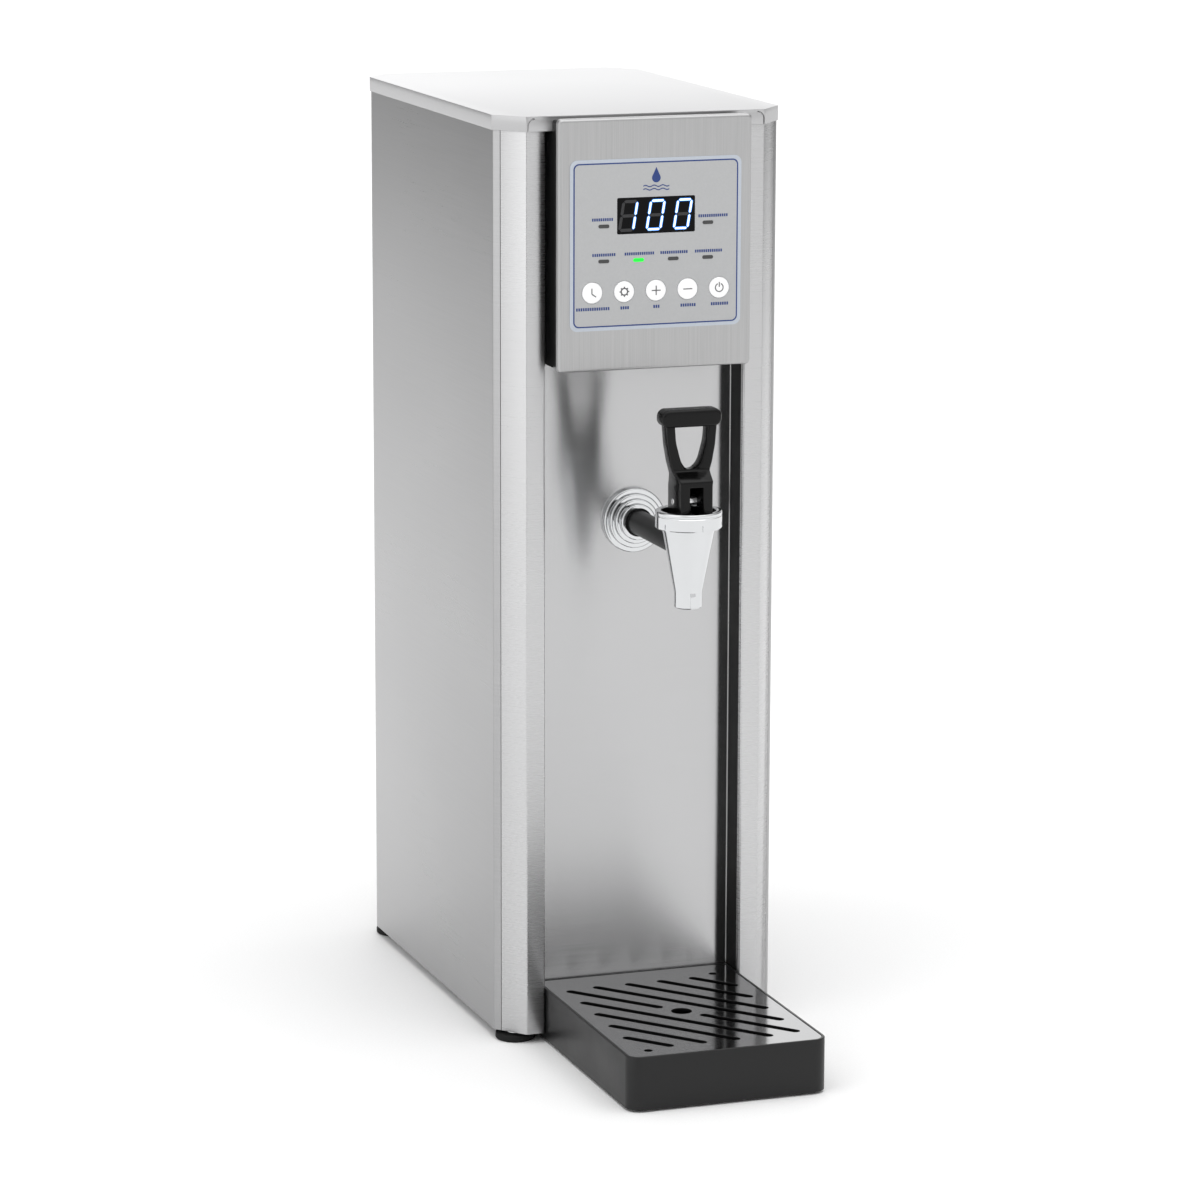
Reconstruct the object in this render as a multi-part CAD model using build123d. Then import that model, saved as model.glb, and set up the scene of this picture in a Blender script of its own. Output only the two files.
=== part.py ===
from build123d import *
import math
import os

os.makedirs("parts", exist_ok=True)

# Countertop hot water dispenser.  Millimetres.  +Z is up, the tap faces -Y, and the
# origin is on the counter, at the middle of the whole object's footprint.

# --- casing ---
CAP_HALF = 100.0          # half the width of the top cap
CAP_FRONT = -85.0         # front plane of the top cap
CAP_REAR = 230.0          # rear plane of the top cap
CAP_TOP = 623.3
CAP_SKIRT = 9.8           # height of the cap's folded edge
CAP_CUT_X = 17.2          # corner chamfer, measured along X
CAP_CUT_Y = 20.7          # corner chamfer, measured along Y
CAP_SHEET = 0.8
OVERHANG = 1.0            # how far the cap stands out over the body
SHEET = 1.0               # stainless sheet of the body panels
BEND = 1.6                # outside radius of the folds
BODY_HALF = CAP_HALF - OVERHANG
BODY_FRONT = CAP_FRONT + OVERHANG
BODY_REAR = CAP_REAR - OVERHANG
BODY_BOTTOM = 6.7
BODY_TOP = CAP_TOP - CAP_SHEET - 1.0
BODY_CUT_X = 16.6
BODY_CUT_Y = 20.0
SIDE_LAP = 7.0            # part of the front chamfer that belongs to the side panel
SEAM_GAP = 0.3
REAR_FLANGE_X = 68.0      # inner edge of the side panels' rear flanges
FLANGE_SCREW_X = 73.5
BASE_SHEET = 1.5
SCREW_R = 1.55
SCREW_LENGTH = 8.0
SCREW_HOLE_R = 1.6

# --- recess in the front ---
RECESS_HALF = 69.2
RECESS_Y = -61.0          # front face of the recess panel
POST_RETURN = 4.0         # depth of the posts' folded edge into the recess
LINING = 1.5              # thickness of the black lining of the recess sides
LINING_FOOT = 5.0         # width of the lining's edge beside the recess panel
PANEL_TOP = 612.0

# --- feet ---
FOOT_X = 84.5
FOOT_INSET = 19.0
FOOT_R = 13.5
FOOT_HEIGHT = 4.6
STUD_R = 4.0
STUD_TOP = 13.0

# --- control head ---
HEAD_HALF = 66.85
HEAD_FRONT = CAP_FRONT - 17.8
HEAD_BOTTOM = 457.6
HEAD_TOP = 622.6
HEAD_LIP = 5.0            # folded edge of the fascia
HOUSING_INSET = 0.6
HOUSING_WALL = 2.2
LABEL_HALF = 59.2
LABEL_Z = (484.5, 596.0)
LABEL_R = 5.0
LABEL_THICK = 0.8
DISPLAY_HALF = 26.9
DISPLAY_Z = (547.0, 570.7)
LAMP_SIZE = (7.5, 2.4)
LAMP_PLACES = ((-36.0, 552.6), (36.0, 552.6), (-36.0, 529.8), (-12.0, 529.8), (12.0, 529.8), (36.0, 529.8))
BUTTON_Z = 509.5
BUTTON_PITCH = 22.0
BUTTON_R = 6.85
BUTTON_GAP = 0.35
BUTTON_STAND = 0.9        # how far a button stands out of the label
BUTTON_NAMES = ("timer_button", "set_button", "up_button", "down_button", "power_button")
BOARD_Y = -96.0           # front face of the control board
BOARD_THICK = 1.6

# --- tap ---
TAP_Y = -167.0            # vertical axis of the tap
SHANK_Z = 350.0
SHANK_R = 8.2
SHANK_BORE = 5.0
SPOUT_BOTTOM = 311.0
SPOUT_R = 9.1
SPOUT_BORE = 6.5
SPOUT_SHOULDER = 323.5    # where the cone starts
SEAT_Z = 331.0
CONE_TOP = 363.8
CONE_TOP_R = 17.5
TAP_WALL = 2.8
RING_R = 21.7
RING_TOP = 375.3
RING_FLOOR = 3.4
RING_BORE = 17.8
RING_NOTCHES = 6
STEM_R = 3.0
RUN_GAP = 0.05            # radial clearance of a running fit
PIN_R = 2.5
PIN_Z = 381.0
SPRING_R = 5.2
SPRING_WIRE = 0.9
SPRING_LOW = 347.2
LEVER_HALF = 11.0
LEVER_FRONT = 15.5
LEVER_REAR = 9.5
LEVER_BOTTOM = 368.2
LEVER_SHOULDER = 398.0
LEVER_ROUND = 17.0
GRIP_Z = (430.0, 441.6)
GRIP_HALF = 20.5
GRIP_DEPTH = 13.5
LOOP_DEPTH = 11.0

# --- drip tray ---
TRAY_FRONT = CAP_FRONT - 165.0
TRAY_REAR = RECESS_Y - 0.8
TRAY_HALF = 68.7
TRAY_Z = (1.5, 37.1)
TRAY_R = 9.5              # front corners
TRAY_REAR_R = 1.0
TRAY_INNER_R = 2.0        # rear corners of the grid and of the basin
TRAY_EDGE_R = 0.9         # lower edge
TRAY_WALL = 2.8
TRAY_RIM = 1.7
GRID_THICK = 1.5
GRID_DROP = 0.2           # how far the grid lies below the rim
GRID_PLAY = 0.4
LEDGE_GAP = 0.3
SLOT_WIDTH = 6.2
SLOT_SLOPE = 1.22
SLOT_PITCH_Y = 28.0
SLOT_FIELD_X = 54.4
SLOT_FIELD_Y = 69.9
SLOT_CENTRE_Y = CAP_FRONT - 75.0
SLOT_LINES = 4            # slots on each side of the middle one
FINGER_HOLE_R = 6.9
CORNER_HOLE_R = 2.8
CORNER_HOLE_X = 51.0
CORNER_HOLE_Y = 76.0

# --- tank and what is inside ---
TANK_HALF = 78.0
TANK_Y = (-26.0, 170.0)
TANK_Z = (150.0, 520.0)
TANK_R = 12.0
TANK_SHEET = 1.2
LID_SHEET = 1.5
GASKET = 2.0
JACKET = 8.0
OUTLET_R = 7.0
HOSE_Y = RECESS_Y + 17.0   # axis of the hose behind the shank
HOSE_WALL = 2.2

# --- rear fittings ---
INLET = (-45.0, 62.0)     # X and Z of the water inlet
INLET_R = 13.2
INLET_BORE = 9.0
INLET_END = 250.0
INLET_FOOT = INLET_END - 20  # where the full thread begins
DRAIN = (45.0, 45.0)
DRAIN_R = 6.0
DRAIN_BORE = 4.0
DRAIN_END = 249.0
DRAIN_FACE = DRAIN_END - 9  # end of the drain body, where the spigot begins
DRAIN_HANDLE_Y = BODY_REAR + 6.0
GLAND = (52.0, 100.0)
GLAND_BORE = 4.0
SWITCH = (-50.0, 120.0)
SWITCH_HALF = (9.0, 13.0)
TRUNNION_R = 1.5  # pins that the rocker turns on


def block(x, y, z):
    """Box between the low and high values given for each axis."""
    size = (x[1] - x[0], y[1] - y[0], z[1] - z[0])
    middle = ((x[0] + x[1]) / 2, (y[0] + y[1]) / 2, (z[0] + z[1]) / 2)
    return Pos(*middle) * Box(*size)


def rounded(x, y, z, radius):
    """Box with its four vertical edges rounded."""
    solid = block(x, y, z)
    return fillet(solid.edges().filter_by(Axis.Z), radius)


def upright(x, y, z, radius):
    """Box with the four edges that run along Y rounded."""
    solid = block(x, y, z)
    return fillet(solid.edges().filter_by(Axis.Y), radius)


def rod(x, y, z, radius):
    """Round bar.  One of x, y and z is a (low, high) pair, and the bar runs along it."""
    if isinstance(z, tuple):
        return Pos(x, y, (z[0] + z[1]) / 2) * Cylinder(radius, z[1] - z[0])
    if isinstance(y, tuple):
        return Pos(x, (y[0] + y[1]) / 2, z) * Rot(90, 0, 0) * Cylinder(radius, y[1] - y[0])
    return Pos((x[0] + x[1]) / 2, y, z) * Rot(0, 90, 0) * Cylinder(radius, x[1] - x[0])


def turned(points):
    """Solid of revolution about Z from (radius, height) points."""
    outline = make_face(Plane.XZ * Polyline(points, close=True))
    return revolve(outline, Axis.Z)


def turned_forward(x, y, z, points):
    """Solid of revolution whose heights run from the point towards -Y."""
    return Pos(x, y, z) * Rot(90, 0, 0) * turned(points)


def octagon(half, front, rear, cut_x, cut_y, low, high):
    """Upright prism with chamfered corners."""
    points = [
        (half, front + cut_y), (half, rear - cut_y), (half - cut_x, rear), (cut_x - half, rear),
        (-half, rear - cut_y), (-half, front + cut_y), (cut_x - half, front), (half - cut_x, front),
    ]
    face = make_face(Polyline(points, close=True))
    return Pos(0, 0, low) * extrude(face, high - low)


def mirrored(part):
    """The same part on the other side of the middle plane."""
    return mirror(part, Plane.YZ)


def save(name, part):
    """Write one sub-part to its STEP file."""
    export_step(part, f"parts/{name}.step")


# ------------------------------------------------------------------ casing

def body_tube():
    """The folded body as one closed ring, before it is divided into panels."""
    outer = octagon(BODY_HALF, BODY_FRONT, BODY_REAR, BODY_CUT_X, BODY_CUT_Y, BODY_BOTTOM, BODY_TOP)
    outer = fillet(outer.edges().filter_by(Axis.Z), BEND)
    slope = math.hypot(BODY_CUT_X, BODY_CUT_Y)
    inner_x = BODY_CUT_X + SHEET * (slope - BODY_CUT_X - BODY_CUT_Y) / BODY_CUT_Y
    inner_y = BODY_CUT_Y + SHEET * (slope - BODY_CUT_X - BODY_CUT_Y) / BODY_CUT_X
    inner = octagon(BODY_HALF - SHEET, BODY_FRONT + SHEET, BODY_REAR - SHEET, inner_x, inner_y,
                    BODY_BOTTOM - 1, BODY_TOP + 1)
    inner = fillet(inner.edges().filter_by(Axis.Z), BEND - SHEET)
    return outer - inner


def corner_zone(lap):
    """Left front corner of the body, from `lap` along the chamfer to the middle."""
    angle = math.degrees(math.atan2(-BODY_CUT_Y, BODY_CUT_X))
    run = Pos(-BODY_HALF, BODY_FRONT + BODY_CUT_Y, BODY_BOTTOM - 5) * Rot(0, 0, angle)
    zone = Box(160, 16, BODY_TOP + 10, align=(Align.MIN, Align.CENTER, Align.MIN))
    ahead = block((-BODY_HALF + BODY_CUT_X - 1, 0), (BODY_FRONT - 5, BODY_FRONT + 5),
                  (BODY_BOTTOM - 5, BODY_TOP + 5))
    return run * Pos(lap, 0, 0) * zone + ahead


def side_panel():
    """Left side with its lap on the front chamfer, the rear chamfer and a rear flange."""
    left = block((-BODY_HALF - 1, -REAR_FLANGE_X), (BODY_FRONT - 1, BODY_REAR + 1),
                 (BODY_BOTTOM - 1, BODY_TOP + 1))
    panel = body_tube() & left
    panel = panel - corner_zone(SIDE_LAP)
    return panel.solids().sort_by(SortBy.VOLUME)[-1]


def front_post():
    """Left front corner post: the rest of the chamfer, the front strip and its return."""
    bend_x = -RECESS_HALF - BEND
    bend_y = BODY_FRONT + BEND
    height = (BODY_BOTTOM, BODY_TOP)
    left = block((-BODY_HALF - 1, bend_x), (BODY_FRONT - 1, 0), (BODY_BOTTOM - 1, BODY_TOP + 1))
    post = body_tube() & left & corner_zone(SIDE_LAP + SEAM_GAP)
    post = post.solids().sort_by(SortBy.VOLUME)[-1]
    bend = rod(bend_x, bend_y, height, BEND) - rod(bend_x, bend_y, height, BEND - SHEET)
    bend = bend & block((bend_x, bend_x + 5), (bend_y - 5, bend_y), height)
    fold = block((-RECESS_HALF - SHEET, -RECESS_HALF), (bend_y, BODY_FRONT + POST_RETURN), height)
    return post + bend + fold


def recess_lining():
    """Black channel that covers the left side of the recess."""
    wall = block((-RECESS_HALF - LINING, -RECESS_HALF),
                 (BODY_FRONT + POST_RETURN, RECESS_Y), (BODY_BOTTOM, PANEL_TOP))
    foot = block((-RECESS_HALF - LINING - LINING_FOOT, -RECESS_HALF - LINING),
                 (RECESS_Y - LINING, RECESS_Y), (BODY_BOTTOM, PANEL_TOP))
    return wall + foot


def recess_panel():
    """Flat steel panel behind the tap, with the hole for the tap's shank."""
    half = RECESS_HALF + LINING + LINING_FOOT
    panel = block((-half, half), (RECESS_Y, RECESS_Y + SHEET), (BODY_BOTTOM + BASE_SHEET, PANEL_TOP))
    panel = panel - rod(0, (RECESS_Y - 1, RECESS_Y + 2), SHANK_Z, SHANK_R)
    wires = upright((-15, 15), (RECESS_Y - 1, RECESS_Y + 2), (540, 560), 6)
    return panel - wires


def top_cap():
    """Octagonal lid with a folded skirt."""
    outer = octagon(CAP_HALF, CAP_FRONT, CAP_REAR, CAP_CUT_X, CAP_CUT_Y, CAP_TOP - CAP_SKIRT, CAP_TOP)
    outer = fillet(outer.edges().filter_by(Axis.Z), BEND)
    outer = fillet(outer.faces().sort_by(Axis.Z)[-1].edges(), CAP_SHEET)
    inner = octagon(CAP_HALF - CAP_SHEET, CAP_FRONT + CAP_SHEET, CAP_REAR - CAP_SHEET,
                    CAP_CUT_X - 0.4, CAP_CUT_Y - 0.5, CAP_TOP - CAP_SKIRT - 1, CAP_TOP - CAP_SHEET)
    inner = fillet(inner.edges().filter_by(Axis.Z), BEND - CAP_SHEET)
    return outer - inner


def base_plate():
    """Floor of the casing, cut away where the drip tray reaches into the recess."""
    gap = SHEET + 0.2
    plate = octagon(BODY_HALF - gap, BODY_FRONT + gap, BODY_REAR - gap, BODY_CUT_X - 0.4,
                    BODY_CUT_Y - 0.5, BODY_BOTTOM, BODY_BOTTOM + BASE_SHEET)
    half = RECESS_HALF + LINING + LINING_FOOT + 0.3
    plate = plate - block((-half, half), (BODY_FRONT - 5, RECESS_Y), (0, 20))
    for x, y in foot_places():
        plate = plate - rod(x, y, (0, 20), STUD_R)
    for row in range(6):
        y = 20 + 25 * row
        plate = plate - rounded((-40, 40), (y - 3, y + 3), (0, 20), 2.9)
    return plate


def foot_places():
    """Centres of the four feet."""
    front = CAP_FRONT + FOOT_INSET
    rear = CAP_REAR - FOOT_INSET
    return [(x, y) for x in (-FOOT_X, FOOT_X) for y in (front, rear)]


def foot_pads():
    """Four rubber discs that the casing stands on."""
    profile = [(0, 0), (FOOT_R - 1.6, 0), (FOOT_R, 1.6), (FOOT_R, 3.2), (FOOT_R - 1.2, FOOT_HEIGHT),
               (0, FOOT_HEIGHT)]
    return Compound([Pos(x, y, 0) * turned(profile) for x, y in foot_places()])


def foot_studs():
    """Four chrome studs, each with a collar between its pad and the base plate."""
    profile = [(0, FOOT_HEIGHT), (STUD_R + 2.5, FOOT_HEIGHT), (STUD_R + 2.5, BODY_BOTTOM),
               (STUD_R, BODY_BOTTOM), (STUD_R, STUD_TOP), (0, STUD_TOP)]
    return Compound([Pos(x, y, 0) * turned(profile) for x, y in foot_places()])


def rear_screw_places():
    """Heights and sides of the screws that hold the rear panel."""
    return [(x, z) for x in (-FLANGE_SCREW_X, FLANGE_SCREW_X) for z in (40, 185, 330, 475, 590)]


def rear_panel():
    """Back of the casing, with vents and the holes for its fittings."""
    through = (BODY_REAR - 5, BODY_REAR + 5)
    panel = block((-80, 80), (BODY_REAR - 2 * SHEET, BODY_REAR - SHEET),
                  (BODY_BOTTOM + BASE_SHEET, BODY_TOP))
    for row in range(12):
        for x in (-34, 34):
            z = 420 + 12 * row
            panel = panel - upright((x - 26, x + 26), through, (z - 1.75, z + 1.75), 1.7)
    panel = panel - rod(INLET[0], through, INLET[1], INLET_R + 0.4)
    panel = panel - rod(DRAIN[0], through, DRAIN[1], DRAIN_R + 2.9)
    panel = panel - rod(GLAND[0], through, GLAND[1], 8.0)
    panel = panel - block((SWITCH[0] - SWITCH_HALF[0] - 1.5, SWITCH[0] + SWITCH_HALF[0] + 1.5), through,
                          (SWITCH[1] - SWITCH_HALF[1] - 1.5, SWITCH[1] + SWITCH_HALF[1] + 1.5))
    for x, z in rear_screw_places():
        panel = panel - rod(x, through, z, SCREW_HOLE_R)
    return panel


def drilled_side_panel():
    """Left side panel with the screw holes in its rear flange."""
    panel = side_panel()
    for x, z in rear_screw_places():
        if x < 0:
            panel = panel - rod(x, (BODY_REAR - 5, BODY_REAR + 5), z, SCREW_HOLE_R)
    return panel


def pan_screw():
    """Pan-head screw: the head stands on the origin towards +Z, the shank hangs below it."""
    head = turned([(0, 0), (3.4, 0), (3.4, 0.9), (2.4, 2.0), (0, 2.0)])
    shank = rod(0, 0, (-SCREW_LENGTH, 0), SCREW_R)
    cross = block((-2.2, 2.2), (-0.4, 0.4), (1.1, 3)) + block((-0.4, 0.4), (-2.2, 2.2), (1.1, 3))
    return head + shank - cross


def case_screws():
    """Screws of the rear panel and of the tank's lid."""
    rear = Rot(-90, 0, 0) * pan_screw()
    screws = [Pos(x, BODY_REAR, z) * rear for x, z in rear_screw_places()]
    lid_top = TANK_Z[1] + GASKET + LID_SHEET
    for x, y in lid_screw_places():
        screws.append(Pos(x, y, lid_top) * pan_screw())
    return Compound(screws)


# ------------------------------------------------------------------ control head

def button_places():
    """X position of each button, from left to right."""
    return [BUTTON_PITCH * (index - 2) for index in range(len(BUTTON_NAMES))]


def lamp_box(place, y, grow=0.0):
    """Rounded bar with the outline of an indicator lamp."""
    half_x = LAMP_SIZE[0] / 2 + grow
    half_z = LAMP_SIZE[1] / 2 + grow
    x, z = place
    return upright((x - half_x, x + half_x), y, (z - half_z, z + half_z), half_z * 0.95)


def control_fascia():
    """Steel front of the head, with folded edges and a window behind the label."""
    pan = block((-HEAD_HALF, HEAD_HALF), (HEAD_FRONT, HEAD_FRONT + HEAD_LIP), (HEAD_BOTTOM, HEAD_TOP))
    pan = fillet(pan.edges().filter_by(Axis.Y), 3.0)
    pan = fillet(pan.faces().sort_by(Axis.Y)[0].edges(), 2.4)
    hollow = upright((-HEAD_HALF + SHEET, HEAD_HALF - SHEET),
                     (HEAD_FRONT + SHEET, HEAD_FRONT + HEAD_LIP + 1),
                     (HEAD_BOTTOM + SHEET, HEAD_TOP - SHEET), 2.0)
    window = upright((6 - LABEL_HALF, LABEL_HALF - 6), (HEAD_FRONT - 1, HEAD_FRONT + 3),
                     (LABEL_Z[0] + 6, LABEL_Z[1] - 6), 3.0)
    return pan - hollow - window


def control_housing():
    """Black box behind the fascia, open at the front, reaching back to the recess panel."""
    half = HEAD_HALF - HOUSING_INSET - SHEET
    low = HEAD_BOTTOM + HOUSING_INSET + SHEET
    high = HEAD_TOP - HOUSING_INSET - SHEET
    front = HEAD_FRONT + SHEET
    under_cap = CAP_TOP - CAP_SKIRT - 0.5
    nose = upright((-half, half), (front, CAP_FRONT - 0.4), (low, high), 2.0)
    root = block((-half, half), (CAP_FRONT - 0.4, RECESS_Y), (low, under_cap))
    shell = nose + root
    wall = HOUSING_WALL
    inside = block((-half + wall, half - wall), (front - 1, RECESS_Y - wall), (low + wall, under_cap - wall))
    wires = upright((-15, 15), (RECESS_Y - 5, RECESS_Y + 2), (540, 560), 6)
    return shell - inside - wires


def label_overlay():
    """Printed front label, cut out for the display, the lamps and the buttons."""
    back = HEAD_FRONT + SHEET * 0.4
    face = HEAD_FRONT - LABEL_THICK + 0.4
    label = upright((-LABEL_HALF, LABEL_HALF), (face, HEAD_FRONT), LABEL_Z, LABEL_R)
    step = upright((6.3 - LABEL_HALF, LABEL_HALF - 6.3), (HEAD_FRONT - 0.1, back),
                   (LABEL_Z[0] + 6.3, LABEL_Z[1] - 6.3), 2.7)
    label = label + step
    through = (HEAD_FRONT - 5, HEAD_FRONT + 5)
    label = label - upright((-DISPLAY_HALF, DISPLAY_HALF), through, DISPLAY_Z, 1.0)
    for place in LAMP_PLACES:
        label = label - lamp_box(place, through)
    for x in button_places():
        label = label - rod(x, through, BUTTON_Z, BUTTON_R + BUTTON_GAP)
    return label


def display_window():
    """Dark lens that fills the label's display cut-out."""
    return upright((-DISPLAY_HALF, DISPLAY_HALF), (HEAD_FRONT - LABEL_THICK + 0.3, HEAD_FRONT + 2.0),
                   DISPLAY_Z, 1.0)


def display_module():
    """Three-digit display block between the lens and the board."""
    return block((1.5 - DISPLAY_HALF, DISPLAY_HALF - 1.5), (HEAD_FRONT + 2.0, BOARD_Y),
                 (DISPLAY_Z[0] + 1, DISPLAY_Z[1] - 1))


def indicator_lamps():
    """Light guides of the six indicator lamps."""
    return Compound([lamp_box(place, (HEAD_FRONT - LABEL_THICK + 0.2, BOARD_Y)) for place in LAMP_PLACES])


def push_button(x):
    """Button with a slightly domed face, a retaining collar and a plunger."""
    face = HEAD_FRONT - LABEL_THICK + 0.4 - BUTTON_STAND
    collar = HEAD_FRONT + 2.2
    points = [(0, 0), (BUTTON_R - 0.6, 0), (BUTTON_R, 0.6), (BUTTON_R, collar - face),
              (BUTTON_R + 1.2, collar - face), (BUTTON_R + 1.2, collar - face + 1.0),
              (1.8, collar - face + 1.0), (1.8, collar - face + 1.6), (0, collar - face + 1.6)]
    return Pos(x, face, BUTTON_Z) * Rot(-90, 0, 0) * turned(points)


def tactile_switches():
    """One small switch on the board behind each button."""
    switches = []
    for x in button_places():
        case = block((x - 3, x + 3), (BOARD_Y - 1.0, BOARD_Y), (BUTTON_Z - 3, BUTTON_Z + 3))
        switches.append(case)
    return Compound(switches)


def control_board():
    """Circuit board of the head."""
    back = BOARD_Y + BOARD_THICK
    board = block((-57, 57), (BOARD_Y, back), (492, 588))
    for x in (-52, 52):
        for z in (496.5, 583.5):
            board = board - rod(x, (BOARD_Y - 1, back + 1), z, 1.6)
    return board


# ------------------------------------------------------------------ tap

def tap_rosette():
    """Stepped chrome flange around the shank."""
    steps = [(21.75, 3.6), (18.6, 6.0), (15.6, 8.4), (12.4, 12.4)]
    points = [(SHANK_R + 0.02, 0)]
    height = 0.0
    for radius, top in steps:
        points.append((radius, height))
        points.append((radius, top - 0.8))
        points.append((radius - 0.8, top))
        height = top
    points.append((SHANK_R + 0.02, height))
    return turned_forward(0, RECESS_Y, SHANK_Z, points)


def tap_shank():
    """Black tube that carries the tap and brings the water to it."""
    tube = rod(0, (TAP_Y + 9.5, HOSE_Y), SHANK_Z, SHANK_R)
    return tube - rod(0, (TAP_Y, RECESS_Y + 30), SHANK_Z, SHANK_BORE)


def shank_nut():
    """Hexagon nut that clamps the shank from inside."""
    nut = Pos(0, RECESS_Y + SHEET, SHANK_Z) * Rot(-90, 0, 0) * extrude(RegularPolygon(14, 6), 6)
    return nut - rod(0, (RECESS_Y - 5, RECESS_Y + 20), SHANK_Z, SHANK_R)


def cone_radius(z):
    """Outside radius of the tap's cone at height z."""
    return SPOUT_R + 0.3 + (CONE_TOP_R - SPOUT_R - 0.3) * (z - SPOUT_SHOULDER) / (CONE_TOP - SPOUT_SHOULDER)


def tap_body():
    """Chrome cone with its valve seat, spout bore and side port."""
    seat_outer = cone_radius(SEAT_Z) - TAP_WALL
    outer = turned([(0, SPOUT_BOTTOM), (SPOUT_R, SPOUT_BOTTOM), (SPOUT_R, SPOUT_SHOULDER - 3),
                    (cone_radius(SPOUT_SHOULDER), SPOUT_SHOULDER), (CONE_TOP_R, CONE_TOP), (0, CONE_TOP)])
    chamber = turned([(0, SEAT_Z), (seat_outer, SEAT_Z), (CONE_TOP_R - TAP_WALL, CONE_TOP + 0.01),
                      (0, CONE_TOP + 0.01)])
    body = outer - chamber - rod(0, 0, (SPOUT_BOTTOM - 1, SEAT_Z + 1), SPOUT_BORE)
    port = rod(0, (5, 30), SHANK_Z, SHANK_R)
    return Pos(0, TAP_Y, 0) * (body - port)


def bonnet_ring():
    """Chrome screw-down bonnet: a shallow cup with notches for a spanner."""
    floor = CONE_TOP + RING_FLOOR
    cup = turned([(STEM_R + RUN_GAP, CONE_TOP), (RING_R - 0.6, CONE_TOP), (RING_R, CONE_TOP + 0.6),
                  (RING_R, RING_TOP - 0.8), (RING_R - 0.8, RING_TOP), (RING_BORE, RING_TOP),
                  (RING_BORE, floor), (STEM_R + RUN_GAP, floor)])
    for index in range(RING_NOTCHES):
        turn = Rot(0, 0, 30 + 360 / RING_NOTCHES * index)
        cup = cup - turn * block((RING_R - 1.2, RING_R + 2), (-2.2, 2.2), (CONE_TOP - 1, CONE_TOP + 4.6))
    return Pos(0, TAP_Y, 0) * cup


def valve_stem():
    """Stem with a spring collar and an eye for the lever's pin."""
    foot = SEAT_Z + 5.0
    rod_part = rod(0, 0, (foot, PIN_Z - 3), STEM_R)
    collar = rod(0, 0, (SPRING_LOW - 2.0, SPRING_LOW - 0.2), 6.6)
    eye = rod((-4.0, 4.0), 0, PIN_Z, 5.0)
    stem = rod_part + collar + eye - rod((-9, 9), 0, PIN_Z, PIN_R + RUN_GAP)
    return Pos(0, TAP_Y, 0) * stem


def seat_cup():
    """Rubber cup that closes the spout bore."""
    radius = cone_radius(SEAT_Z) - TAP_WALL - 0.4
    cup = turned([(0, SEAT_Z), (radius - 0.8, SEAT_Z), (radius, SEAT_Z + 1.5), (radius - 1.2, SEAT_Z + 5.0),
                  (0, SEAT_Z + 5.0)])
    above = rod(0, 0, (SEAT_Z + 5, SEAT_Z + 9), STEM_R)
    return Pos(0, TAP_Y, 0) * (Pos(0, 0, 0.3) * cup - above)


def valve_spring():
    """Return spring between the stem's collar and the bonnet."""
    height = CONE_TOP - SPRING_LOW - SPRING_WIRE - 0.2
    path = Helix(pitch=height / 4, height=height, radius=SPRING_R)
    profile = Plane(origin=path @ 0, z_dir=path % 0) * Circle(SPRING_WIRE / 2)
    spring = sweep(profile, path, is_frenet=True)
    return Pos(0, TAP_Y, SPRING_LOW + SPRING_WIRE / 2 + 0.1) * spring


def lever_loop():
    """Open grip of the lever: two arms that spread upwards from a rounded crotch."""
    half_low = 12.5
    half_high = 17.6
    outline = [(-half_low, LEVER_SHOULDER - 6), (half_low, LEVER_SHOULDER - 6), (14.2, LEVER_SHOULDER + 3),
               (half_high, GRIP_Z[0] + 2), (-half_high, GRIP_Z[0] + 2), (-14.2, LEVER_SHOULDER + 3)]
    plate = extrude(Plane.XZ * make_face(Polyline(outline, close=True)), LOOP_DEPTH / 2, both=True)
    crotch = 410.5
    window = [(-11.6, GRIP_Z[0]), (-7.4, crotch), (7.4, crotch), (11.6, GRIP_Z[0])]
    opening = extrude(Plane.XZ * make_face(Polyline(window, close=True)), LOOP_DEPTH, both=True)
    opening = opening + rod(0, (-LOOP_DEPTH, LOOP_DEPTH), crotch, 7.4)
    long_edges = plate.edges().filter_by(Axis.Y, reverse=True)
    plate = fillet(long_edges.filter_by(GeomType.LINE).group_by(Axis.Z)[2:-1][0], 1.2)
    return plate - opening


def grip_bar():
    """Cross bar at the top of the lever."""
    bar = block((-GRIP_HALF, GRIP_HALF), (-GRIP_DEPTH / 2, GRIP_DEPTH / 2), GRIP_Z)
    bar = fillet(bar.edges().filter_by(Axis.Y), 5.0)
    ends = bar.faces().sort_by(Axis.Y)
    return fillet(ends[0].edges() + ends[-1].edges(), 2.6)


def lever_block():
    """Foot of the lever, slotted at the front for the stem."""
    foot = block((-LEVER_HALF, LEVER_HALF), (-LEVER_FRONT, LEVER_REAR), (LEVER_BOTTOM, LEVER_SHOULDER))
    foot = foot & rod(0, 0, (LEVER_BOTTOM, LEVER_SHOULDER), LEVER_ROUND)
    foot = fillet(foot.edges().filter_by(Axis.Z).group_by(Axis.Y)[-1], 4.0)
    slope = Pos(0, -LEVER_FRONT, LEVER_SHOULDER - 2) * Rot(38, 0, 0)
    foot = foot - slope * block((-20, 20), (-5, 9), (0, 20))
    slot = block((-4.5, 4.5), (-LEVER_FRONT - 2, 6.0), (LEVER_BOTTOM - 1, PIN_Z + 9.5))
    return foot - slot


def tap_lever():
    """Black pull lever: slotted foot, open loop and cross bar."""
    lever = lever_block() + lever_loop() + grip_bar()
    lever = lever - rod((-20, 20), 0, PIN_Z, PIN_R)
    return Pos(0, TAP_Y, 0) * lever


def lever_pin():
    """Steel pin through the lever and the stem's eye."""
    return Pos(0, TAP_Y, 0) * rod((-LEVER_HALF - 0.3, LEVER_HALF + 0.3), 0, PIN_Z, PIN_R)


# ------------------------------------------------------------------ drip tray

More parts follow.
